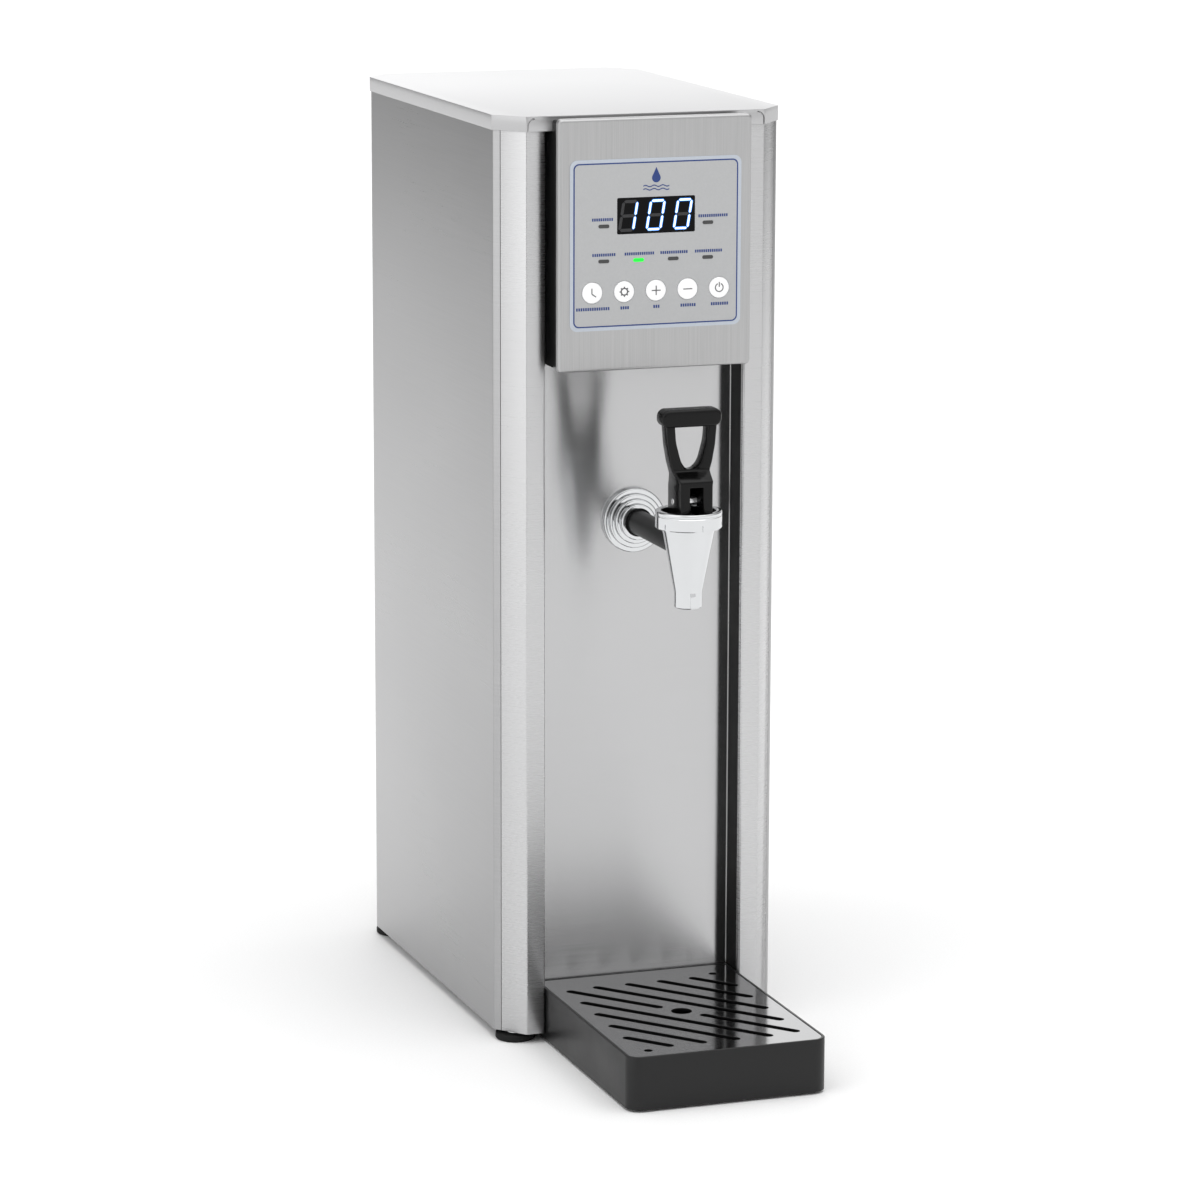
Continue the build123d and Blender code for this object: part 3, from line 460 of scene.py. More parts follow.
def lift_xy(points: list[tuple[float, float]], z: float) -> list[Point]:
    """Place plane points on a level plane.

    Args:
        points: (x, y) pairs.
        z: Height of the plane.

    Returns:
        Points in space.
    """
    return [(x, y, z) for x, y in points]


def cylinder(name: str, centre: Point, radius: float, height: float, along: Along = Along.UP,
             steps: int = 48) -> bpy.types.Object:
    """Round bar used as a cutter or as a start for shaping.

    Args:
        name: Name of the new object.
        centre: Centre of its first end.
        radius: Radius.
        height: Length.
        along: Direction of the length.
        steps: Faces round the axis.

    Returns:
        The new object.
    """
    return turned(name, centre, [(0, 0), (radius, 0), (radius, height), (0, height)], along, steps)


# ---------------------------------------------------------------- finishes

class Grain(Enum):
    """Direction of the brush lines, as the scale of their noise along X, Y and Z."""

    LEVEL = (14.0, 14.0, 2600.0)
    UPRIGHT = (2400.0, 2400.0, 16.0)
    CROSS = (14.0, 2600.0, 2600.0)


class Nodes:
    """Small helper that adds nodes to a material and links them."""

    def __init__(self, material: bpy.types.Material) -> None:
        """Start an empty node tree with an output.

        Args:
            material: The material to fill.
        """
        material.use_nodes = True
        self.tree = material.node_tree
        self.tree.nodes.clear()
        self.output = self.tree.nodes.new("ShaderNodeOutputMaterial")

    def add(self, kind: str, **settings: object) -> bpy.types.Node:
        """Add a node.

        Args:
            kind: Blender's type name after "ShaderNode".
            settings: Attributes to set.

        Returns:
            The node.
        """
        node = self.tree.nodes.new("ShaderNode" + kind)
        for key, value in settings.items():
            setattr(node, key, value)
        return node

    def link(self, source: bpy.types.NodeSocket, target: bpy.types.NodeSocket) -> None:
        """Join two sockets."""
        self.tree.links.new(source, target)

    def noise(self, scale: Point, detail: float, roughness: float = 0.55) -> bpy.types.Node:
        """Noise on the object's own coordinates.

        Args:
            scale: Scale along X, Y and Z.
            detail: Number of octaves.
            roughness: Weight of the finer octaves.

        Returns:
            The noise node.
        """
        place = self.add("TexCoord")
        mapping = self.add("Mapping")
        mapping.inputs["Scale"].default_value = scale
        noise = self.add("TexNoise")
        noise.inputs["Scale"].default_value = 1.0
        noise.inputs["Detail"].default_value = detail
        noise.inputs["Roughness"].default_value = roughness
        self.link(place.outputs["Object"], mapping.inputs["Vector"])
        self.link(mapping.outputs["Vector"], noise.inputs["Vector"])
        return noise

    def ranged(self, source: bpy.types.NodeSocket, low: float, high: float, start: float = 0.3,
               end: float = 0.7) -> bpy.types.NodeSocket:
        """Map a value to a range.

        Args:
            source: The value.
            low: Result at the start.
            high: Result at the end.
            start: Value that gives low.
            end: Value that gives high.

        Returns:
            The result's socket.
        """
        node = self.add("MapRange")
        node.inputs["From Min"].default_value = start
        node.inputs["From Max"].default_value = end
        node.inputs["To Min"].default_value = low
        node.inputs["To Max"].default_value = high
        self.link(source, node.inputs["Value"])
        return node.outputs["Result"]

    def tinted(self, factor: bpy.types.NodeSocket, dark: Colour, light: Colour) -> bpy.types.NodeSocket:
        """Mix two colours by a factor.

        Args:
            factor: Mixing factor.
            dark: Colour at 0.
            light: Colour at 1.

        Returns:
            The colour's socket.
        """
        mix = self.add("Mix", data_type="RGBA")
        mix.inputs["A"].default_value = (*dark, 1)
        mix.inputs["B"].default_value = (*light, 1)
        self.link(factor, mix.inputs["Factor"])
        return mix.outputs["Result"]

    def bump(self, height: bpy.types.NodeSocket, strength: float, distance: float) -> bpy.types.NodeSocket:
        """Bump from a height.

        Args:
            height: The height.
            strength: Strength of the effect.
            distance: Depth in metres.

        Returns:
            The normal's socket.
        """
        node = self.add("Bump")
        node.inputs["Strength"].default_value = strength
        node.inputs["Distance"].default_value = distance
        self.link(height, node.inputs["Height"])
        return node.outputs["Normal"]


def shade(colour: Colour, factor: float) -> Colour:
    """Colour made lighter or darker, kept within 1."""
    return tuple(min(1.0, channel * factor) for channel in colour)


@dataclass(frozen=True)
class BrushedSteel:
    """Stainless steel with fine brush lines and a stretched gloss."""

    name: str
    colour: Colour = (0.46, 0.46, 0.465)
    roughness: float = 0.3
    anisotropy: float = 0.75
    grain: Grain = Grain.LEVEL
    contrast: float = 0.06
    tangent_axis: str = "Z"
    turn: float = 0.25
    relief: float = 0.02

    def material(self) -> bpy.types.Material:
        """Build the material.

        Returns:
            The new material.
        """
        material = bpy.data.materials.new(self.name)
        nodes = Nodes(material)
        lines = nodes.noise(self.grain.value, 4.0, 0.6)
        broad = nodes.noise((3.0, 3.0, 5.0), 2.0)
        shader = nodes.add("BsdfPrincipled")
        shader.inputs["Metallic"].default_value = 1.0
        shader.inputs["Anisotropic"].default_value = self.anisotropy
        shader.inputs["Anisotropic Rotation"].default_value = self.turn
        tangent = nodes.add("Tangent", direction_type="RADIAL", axis=self.tangent_axis)
        nodes.link(tangent.outputs["Tangent"], shader.inputs["Tangent"])
        streak = nodes.ranged(lines.outputs["Fac"], 0.0, 1.0, 0.25, 0.75)
        tint = nodes.tinted(streak, shade(self.colour, 1 - self.contrast),
                            shade(self.colour, 1 + self.contrast))
        nodes.link(tint, shader.inputs["Base Color"])
        rough = nodes.add("Math", operation="ADD")
        nodes.link(nodes.ranged(lines.outputs["Fac"], -0.02, 0.02), rough.inputs[0])
        nodes.link(nodes.ranged(broad.outputs["Fac"], self.roughness - 0.02, self.roughness + 0.02),
                   rough.inputs[1])
        nodes.link(rough.outputs["Value"], shader.inputs["Roughness"])
        nodes.link(nodes.bump(lines.outputs["Fac"], self.relief, 0.0001), shader.inputs["Normal"])
        nodes.link(shader.outputs["BSDF"], nodes.output.inputs["Surface"])
        return material


@dataclass(frozen=True)
class BrightMetal:
    """Plated or polished metal with faint handling marks."""

    name: str
    colour: Colour = (0.66, 0.67, 0.68)
    roughness: float = 0.05
    marks: float = 0.03

    def material(self) -> bpy.types.Material:
        """Build the material.

        Returns:
            The new material.
        """
        material = bpy.data.materials.new(self.name)
        nodes = Nodes(material)
        cloud = nodes.noise((60.0, 60.0, 60.0), 3.0)
        shader = nodes.add("BsdfPrincipled")
        shader.inputs["Metallic"].default_value = 1.0
        tint = nodes.tinted(cloud.outputs["Fac"], shade(self.colour, 0.97), shade(self.colour, 1.02))
        nodes.link(tint, shader.inputs["Base Color"])
        rough = nodes.ranged(cloud.outputs["Fac"], self.roughness, self.roughness + self.marks)
        nodes.link(rough, shader.inputs["Roughness"])
        nodes.link(shader.outputs["BSDF"], nodes.output.inputs["Surface"])
        return material


@dataclass(frozen=True)
class Moulded:
    """Moulded plastic or rubber with a fine skin texture."""

    name: str
    colour: Colour = (0.03, 0.03, 0.032)
    roughness: float = 0.42
    texture: float = 0.12
    scale: float = 1400.0
    shine: float = 0.5

    def material(self) -> bpy.types.Material:
        """Build the material.

        Returns:
            The new material.
        """
        material = bpy.data.materials.new(self.name)
        nodes = Nodes(material)
        skin = nodes.noise((self.scale,) * 3, 3.0)
        cloud = nodes.noise((25.0, 25.0, 25.0), 3.0)
        shader = nodes.add("BsdfPrincipled")
        shader.inputs["Specular IOR Level"].default_value = self.shine
        tint = nodes.tinted(cloud.outputs["Fac"], shade(self.colour, 0.88), shade(self.colour, 1.12))
        nodes.link(tint, shader.inputs["Base Color"])
        rough = nodes.ranged(cloud.outputs["Fac"], self.roughness - 0.04, self.roughness + 0.04)
        nodes.link(rough, shader.inputs["Roughness"])
        nodes.link(nodes.bump(skin.outputs["Fac"], self.texture, 0.0001), shader.inputs["Normal"])
        nodes.link(shader.outputs["BSDF"], nodes.output.inputs["Surface"])
        return material


@dataclass(frozen=True)
class Printed:
    """Ink or film with a faint mottle."""

    name: str
    colour: Colour
    roughness: float = 0.38
    metallic: float = 0.0

    def material(self) -> bpy.types.Material:
        """Build the material.

        Returns:
            The new material.
        """
        material = bpy.data.materials.new(self.name)
        nodes = Nodes(material)
        mottle = nodes.noise((700.0, 700.0, 700.0), 2.0)
        shader = nodes.add("BsdfPrincipled")
        shader.inputs["Metallic"].default_value = self.metallic
        tint = nodes.tinted(mottle.outputs["Fac"], shade(self.colour, 0.95), shade(self.colour, 1.05))
        nodes.link(tint, shader.inputs["Base Color"])
        rough = nodes.ranged(mottle.outputs["Fac"], self.roughness - 0.03, self.roughness + 0.03)
        nodes.link(rough, shader.inputs["Roughness"])
        nodes.link(shader.outputs["BSDF"], nodes.output.inputs["Surface"])
        return material


@dataclass(frozen=True)
class Lit:
    """Plastic that glows, a little unevenly: back-lit on the lamp and the digits, a painted glow on the
    buttons.
    """

    name: str
    colour: Colour
    glow: float

    def material(self) -> bpy.types.Material:
        """Build the material.

        Returns:
            The new material.
        """
        material = bpy.data.materials.new(self.name)
        nodes = Nodes(material)
        cloud = nodes.noise((220.0, 220.0, 220.0), 2.0)
        shader = nodes.add("BsdfPrincipled")
        shader.inputs["Roughness"].default_value = 0.3
        shader.inputs["Emission Strength"].default_value = self.glow
        tint = nodes.tinted(cloud.outputs["Fac"], shade(self.colour, 0.94), self.colour)
        nodes.link(tint, shader.inputs["Base Color"])
        nodes.link(tint, shader.inputs["Emission Color"])
        nodes.link(shader.outputs["BSDF"], nodes.output.inputs["Surface"])
        return material


Finish = BrushedSteel | BrightMetal | Moulded | Printed | Lit

# The side panels and the front posts are the same steel sheet: the sides' darker base colour is painted
# shade, the posts' lighter one is painted light.
SIDE_STEEL_SHADED = BrushedSteel("side_steel_painted_shade", colour=(0.4, 0.4, 0.404), roughness=0.3, anisotropy=0.9)
POST_STEEL_LIT = BrushedSteel("post_steel_painted_light", colour=(0.56, 0.56, 0.565), roughness=0.28, anisotropy=0.9,
                          contrast=0.025)
CAP_STEEL = BrushedSteel("cap_steel", colour=(0.5, 0.5, 0.505), roughness=0.32, grain=Grain.CROSS,
                         contrast=0.02, tangent_axis="Y")
RECESS_STEEL = BrushedSteel("recess_steel", colour=(0.52, 0.52, 0.525), roughness=0.2, anisotropy=1.0,
                            contrast=0.05)
FASCIA_STEEL = BrushedSteel("fascia_steel", colour=(0.44, 0.44, 0.442), roughness=0.36, grain=Grain.UPRIGHT,
                            turn=0.0, contrast=0.1)
GRID_STEEL = BrushedSteel("grid_steel", colour=(0.25, 0.25, 0.253), roughness=0.1, grain=Grain.CROSS,
                          contrast=0.02, tangent_axis="Y", anisotropy=0.2, relief=0.0)
PLAIN_STEEL = BrushedSteel("plain_steel", colour=(0.5, 0.5, 0.505), roughness=0.35)
CHROME = BrightMetal("chrome")
PIN_METAL = BrightMetal("pin_metal", colour=(0.7, 0.7, 0.71), roughness=0.16)
BEAD_METAL = BrightMetal("bead_metal", colour=(0.3, 0.3, 0.3), roughness=0.25)
BRASS = BrightMetal("brass", colour=(0.72, 0.52, 0.24), roughness=0.22)
BLACK_LINING = Moulded("black_lining", colour=(0.004, 0.004, 0.004), roughness=0.5, texture=0.05, shine=0.12)
BLACK_HOUSING = Moulded("black_housing", colour=(0.007, 0.007, 0.007), roughness=0.4, texture=0.06,
                        shine=0.25)
LEVER_PLASTIC = Moulded("lever_plastic", colour=(0.003, 0.003, 0.003), roughness=0.18, texture=0.05,
                        shine=0.2)
TRAY_PLASTIC = Moulded("tray_plastic", colour=(0.011, 0.011, 0.0113), roughness=0.38, texture=0.1, shine=0.3)
RUBBER = Moulded("rubber", colour=(0.01, 0.01, 0.01), roughness=0.7, texture=0.2, shine=0.2)
LENS = Moulded("display_lens", colour=(0.002, 0.002, 0.0025), roughness=0.1, texture=0.0, shine=0.1)
DARK_PARTS = Moulded("dark_parts", colour=(0.02, 0.02, 0.02), roughness=0.5)
# Near-black for the inner walls of the grid's slots and holes: painted shade on what is steel.
SLOT_WALL_SHADE = Moulded("slot_wall_painted_shade", colour=(0.004, 0.004, 0.004), roughness=0.6, texture=0.0, shine=0.1)
WHITE_NYLON = Moulded("white_nylon", colour=(0.75, 0.75, 0.72), roughness=0.45)
RED_PLASTIC = Moulded("red_plastic", colour=(0.5, 0.02, 0.015), roughness=0.35)
BOARD = Moulded("board_lacquer", colour=(0.02, 0.14, 0.05), roughness=0.3)
SILICONE = Moulded("silicone", colour=(0.55, 0.2, 0.12), roughness=0.55)
FELT = Moulded("felt", colour=(0.5, 0.5, 0.48), roughness=0.95, texture=0.8, scale=500.0)
LABEL_EDGE = Printed("label_edge", (0.48, 0.52, 0.58), roughness=0.45)
LABEL_FIELD = Printed("label_field", (0.44, 0.445, 0.45), roughness=0.5)
NAVY_INK = Printed("navy_ink", (0.012, 0.04, 0.19), roughness=0.5)
GREY_INK = Printed("grey_ink", (0.12, 0.12, 0.125), roughness=0.5)
LAMP_OFF = Printed("lamp_off", (0.045, 0.045, 0.045), roughness=0.4)
SEGMENT_OFF = Printed("segment_off", (0.022, 0.022, 0.024), roughness=0.6)
LAMP_ON = Lit("lamp_on", (0.0, 0.75, 0.03), 0.8)
SEGMENT_GLOW = Lit("segment_glow", (0.04, 0.25, 0.85), 0.9)
SEGMENT_CORE = Lit("segment_core", (0.8, 0.93, 1.0), 1.2)
# Faint glow on the white buttons: painted light, as they hold no lamp.
BUTTON_PAINTED_GLOW = Lit("button_painted_glow", (0.9, 0.9, 0.9), 0.1)


class Paintbox:
    """Makes each finish's material once."""

    def __init__(self) -> None:
        """Start with no materials."""
        self.made: dict[str, bpy.types.Material] = {}

    def get(self, finish: Finish) -> bpy.types.Material:
        """Material of a finish.

        Args:
            finish: The finish.

        Returns:
            Its material.
        """
        if finish.name not in self.made:
            self.made[finish.name] = finish.material()
        return self.made[finish.name]


PAINT = Paintbox()


def paint(piece: bpy.types.Object, finish: Finish) -> None:
    """Give a piece one finish all over.

    Args:
        piece: The piece.
        finish: The finish.
    """
    piece.data.materials.clear()
    piece.data.materials.append(PAINT.get(finish))


def place(piece: bpy.types.Object, finish: Finish, body: str, slot: str, *nodes: str) -> bpy.types.Object:
    """Dress a finished piece and tie it to its body.

    Args:
        piece: The piece, with its place in its mesh.
        finish: Its finish.
        body: The body it moves with.
        slot: The record's material slot; not used.
        nodes: CAD nodes that it stands for.

    Returns:
        The piece.
    """
    paint(piece, finish)
    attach(piece, body)
    if nodes:
        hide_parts(*nodes)
    LOG.info("%s: %d faces, on %s", piece.name, len(piece.data.polygons), body)
    return piece


def dress_node(name: str, finish: Finish) -> None:
    """Give a CAD node that stays in view its finish.

    Args:
        name: The node.
        finish: The finish.
    """
    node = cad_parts[name]
    for slot in node.material_slots:
        slot.material = PAINT.get(finish)


# ---------------------------------------------------------------- casing

@dataclass
class Casing:
    """Folded steel body with its cap, feet and rear fittings."""

    sheet: float = 1.0 * MM
    bend: float = 1.6 * MM
    cut_x: float = 16.6 * MM
    cut_y: float = 20.0 * MM
    lap: float = 5.8 * MM
    seam: float = 0.3 * MM
    cap_sheet: float = 0.8 * MM
    cap_cut_x: float = 17.2 * MM
    cap_cut_y: float = 20.7 * MM
    shoulder: float = 5.0 * MM
    shoulder_gap: float = 0.8 * MM

    def build(self) -> None:
        """Model and dress every piece of the casing."""
        self.side_panels()
        self.front_posts()
        self.cap()
        self.feet()
        self.rear_screws()
        self.vent_hoods()
        self.corner_beads()
        dress_node("recess_panel", RECESS_STEEL)
        dress_node("rear_panel", PLAIN_STEEL)
        dress_node("base_plate", PLAIN_STEEL)
        dress_node("left_recess_lining", BLACK_LINING)
        dress_node("right_recess_lining", BLACK_LINING)

    def folded(self, name: str, path: list[tuple[float, float]], low: float, high: float) -> bpy.types.Object:
        """Sheet that follows a plan line, folded at its corners.

        Args:
            name: Name of the piece.
            path: Plan corners of its outer face.
            low: Lower edge.
            high: Upper edge.

        Returns:
            The new piece.
        """
        radii = [self.bend] * len(path)
        line = rounded_corners(path, radii, False)
        piece = chain(name, lift_xy(line, low))
        bpy.ops.mesh.select_all(action="SELECT")
        bpy.ops.mesh.extrude_region_move(TRANSFORM_OT_translate={"value": (0, 0, high - low)})
        leave_edit()
        wall = piece.modifiers.new("wall", "SOLIDIFY")
        wall.thickness = self.sheet
        wall.offset = -1
        wall.use_even_offset = True
        apply_modifier(piece, "wall")
        face_out(piece)
        bevel(piece, 0.2 * MM, 2, 60)
        return smooth(piece)

    def front_corner(self) -> tuple[Vector, Vector]:
        """Start and direction of the left front chamfer.

        Returns:
            The chamfer's outer corner and its direction towards the front.
        """
        low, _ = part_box("left_side_panel")
        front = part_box("left_front_post")[0][1]
        return Vector((low[0], front + self.cut_y)), Vector((self.cut_x, -self.cut_y)).normalized()

    def side_panels(self) -> None:
        """Both sides, each with its lap on the front chamfer and its rear flange."""
        low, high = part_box("left_side_panel")
        corner, run = self.front_corner()
        seam = corner + run * self.lap
        rear = high[1]
        path = [(high[0], rear), (low[0] + self.cut_x, rear), (low[0], rear - self.cut_y), tuple(corner),
                tuple(seam)]
        left = self.folded("left_side", path, low[2], high[2])
        right = mirrored(left, "right_side")
        # The sides get the darker copy of the sheet steel, painted shade.
        place(left, SIDE_STEEL_SHADED, "case", "steel_sheet", "left_side_panel")
        place(right, SIDE_STEEL_SHADED, "case", "steel_sheet", "right_side_panel")

    def front_posts(self) -> None:
        """Both front posts: the chamfer, the front strip and the fold into the recess."""
        low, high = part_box("left_front_post")
        corner, run = self.front_corner()
        seam = corner + run * (self.lap + self.seam)
        front = low[1]
        inner = high[0]
        path = [tuple(seam), (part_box("left_side_panel")[0][0] + self.cut_x, front), (inner, front),
                (inner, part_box("left_recess_lining")[0][1])]
        left = self.folded("left_post", path, low[2], high[2])
        right = mirrored(left, "right_post")
        # The posts get the lighter copy of the sheet steel, painted light.
        place(left, POST_STEEL_LIT, "case", "steel_sheet", "left_front_post")
        place(right, POST_STEEL_LIT, "case", "steel_sheet", "right_front_post")

    def cap(self) -> None:
        """Folded cap, with the small shoulders where its front skirt ends."""
        low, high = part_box("top_cap")
        cut_x = self.cap_cut_x
        cut_y = self.cap_cut_y
        plan = [(high[0], low[1] + cut_y), (high[0], high[1] - cut_y), (high[0] - cut_x, high[1]),
                (low[0] + cut_x, high[1]), (low[0], high[1] - cut_y), (low[0], low[1] + cut_y),
                (low[0] + cut_x, low[1]), (high[0] - cut_x, low[1])]
        outline = rounded_corners(plan, [self.bend] * 8, True)
        cap = prism("cap", lift_xy(outline, low[2]), (0, 0, high[2] - low[2]))
        activate(cap)
        bpy.ops.object.mode_set(mode="EDIT")
        bpy.ops.mesh.select_mode(type="FACE")
        bpy.ops.object.mode_set(mode="OBJECT")
        for polygon in cap.data.polygons:
            polygon.select = polygon.normal.z < -0.9
        bpy.ops.object.mode_set(mode="EDIT")
        bpy.ops.mesh.delete(type="FACE")
        bpy.ops.mesh.select_mode(type="VERT")
        leave_edit()
        wall = cap.modifiers.new("wall", "SOLIDIFY")
        wall.thickness = self.cap_sheet
        wall.offset = -1
        wall.use_even_offset = True
        apply_modifier(cap, "wall")
        face_out(cap)
        for side in (-1, 1):
            end = side * (high[0] - cut_x - 0.6 * MM)
            carve(cap, self.shoulder_cutter(end, side, low, high))
        bevel(cap, 0.7 * MM, 3, 55)
        smooth(cap)
        place(cap, CAP_STEEL, "case", "steel_sheet", "top_cap")

    def shoulder_cutter(self, end: float, side: int, low: Point, high: Point) -> bpy.types.Object:
        """Thin curved gap between the front skirt and the corner skirt.

        Args:
            end: X where the front skirt ends.
            side: -1 on the left, 1 on the right.
            low: Lowest corner of the cap.
            high: Highest corner of the cap.

        Returns:
            The cutter.
        """
        radius = self.shoulder
        top = high[2] - 1.2 * MM
        centre = (end - side * radius, top - radius)
        start = 0 if side > 0 else 180
        finish = 90
        outer = arc(centre, radius, start, finish, 8)
        inner = arc(centre, radius - self.shoulder_gap, finish, start, 8)
        bottom = low[2] - 1 * MM
        outline = [(outer[0][0], bottom)] + outer + inner + [(inner[-1][0], bottom)]
        return prism("gap", lift_xz(outline, low[1] - 1 * MM), (0, 2.4 * MM, 0))

    def feet(self) -> None:
        """Rubber discs with a rounded rim, and domed chrome studs."""
        low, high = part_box("foot_pads")
        stud_low, stud_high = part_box("foot_studs")
        collar = 6.5 * MM
        radius = (high[0] - low[0]) / 2 - (stud_high[0] - stud_low[0]) / 2 + collar
        xs = (stud_low[0] + collar, stud_high[0] - collar)
        ys = (stud_low[1] + collar, stud_high[1] - collar)
        height = high[2] - low[2]
        rim = 1.8 * MM
        profile = [(0, 0), (radius - rim - 2 * MM, 0), (radius - rim, 0.15 * MM)]
        profile += arc((radius - rim, rim), rim, -70, 0, 5)
        profile += arc((radius - 0.9 * MM, height - 0.9 * MM), 0.9 * MM, 0, 90, 4)
        profile += [(7.4 * MM, height), (7.2 * MM, height - 0.5 * MM), (0, height - 0.5 * MM)]
        stud = [(0, height - 0.4 * MM), (4.2 * MM, height - 0.4 * MM)]
        stud += arc((2.2 * MM, height), 4.2 * MM, 0, 28, 5)
        stud += [(3.9 * MM, stud_high[2]), (0, stud_high[2])]
        pads = []
        studs = []
        for x in xs:
            for y in ys:
                pads.append(turned("foot_pad", (x, y, low[2]), profile))
                studs.append(turned("foot_stud", (x, y, 0), stud, steps=48))
        place(smooth(join(pads, "foot_discs")), RUBBER, "case", "rubber", "foot_pads")
        place(smooth(join(studs, "foot_caps")), CHROME, "case", "chrome", "foot_studs")

    def rear_screws(self) -> None:
        """Domed screws of the rear panel, each with a cross recess."""
        low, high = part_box("case_screws")
        radius = 3.4 * MM
        seat = high[1] - 2.0 * MM
        profile = [(0, -2 * MM), (1.5 * MM, -2 * MM), (1.5 * MM, 0), (radius, 0), (radius, 0.5 * MM)]
        profile += arc((radius - 1.4 * MM, 0.5 * MM), 1.4 * MM, 10, 90, 5) + [(0, 2.0 * MM)]
        screw = turned("screw", (0, seat, 0), profile, Along.BACK, 32)
        for wide, tall in ((1.9, 0.45), (0.45, 1.9)):
            cross = brick("cross", (-wide * MM, seat + 1.0 * MM, -tall * MM),
                          (wide * MM, seat + 3 * MM, tall * MM))
            carve(screw, cross)
        smooth(screw)
        xs = (low[0] + radius, high[0] - radius)
        bottom = low[2] + radius
        top = high[2] - radius
        screws = []
        for x in xs:
            for height in (bottom, bottom + 145 * MM, bottom + 290 * MM, bottom + 435 * MM, top):
                screws.append(copied(screw, (x, 0, height)))
        bpy.data.objects.remove(screw)
        place(join(screws, "rear_screws"), PIN_METAL, "case", "pin_steel", "case_screws")

    def vent_hoods(self) -> None:
        """Pressed hoods over the vent slots of the rear panel."""
        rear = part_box("rear_panel")[1][1]
        profile = [(0, 0)] + arc((0, 0), 4.4 * MM, 90, 0, 6)
        sunk = 0.4 * MM
        flatness = 0.55
        half = 26 * MM
        hoods = []
        for row in range(12):
            z = 420 * MM + 12 * MM * row
            for side in (-1, 1):
                middle = side * 34 * MM
                outline = [(middle - half, rear - sunk + reach * flatness, z + rise - 2.0 * MM)
                           for reach, rise in profile]
                hood = prism("hood", outline, (2 * half, 0, 0))
                hoods.append(bevel(hood, 0.6 * MM, 2, 50))
        place(smooth(join(hoods, "vent_hoods")), PLAIN_STEEL, "case", "steel_sheet")

    def corner_beads(self) -> None:
        """Thin bright beads where the recess panel meets its black sides."""
        lining_low, lining_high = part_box("right_recess_lining")
        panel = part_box("recess_panel")[0][1]
        inner = lining_low[0]
        outline = [(inner, panel - 0.6 * MM), (inner, panel), (inner - 0.6 * MM, panel)]
        right = prism("right_bead", lift_xy(outline, lining_low[2]), (0, 0, lining_high[2] - lining_low[2]))
        left = mirrored(right, "left_bead")
        place(right, BEAD_METAL, "case", "pin_steel")
        place(left, BEAD_METAL, "case", "pin_steel")


# ---------------------------------------------------------------- control head

class Mark(Enum):
    """Small pictograms of the control panel."""

    CLOCK = "clock"
    GEAR = "gear"
    PLUS = "plus"
    MINUS = "minus"
    POWER = "power"


SEGMENTS = {"0": "abcdef", "1": "bc"}


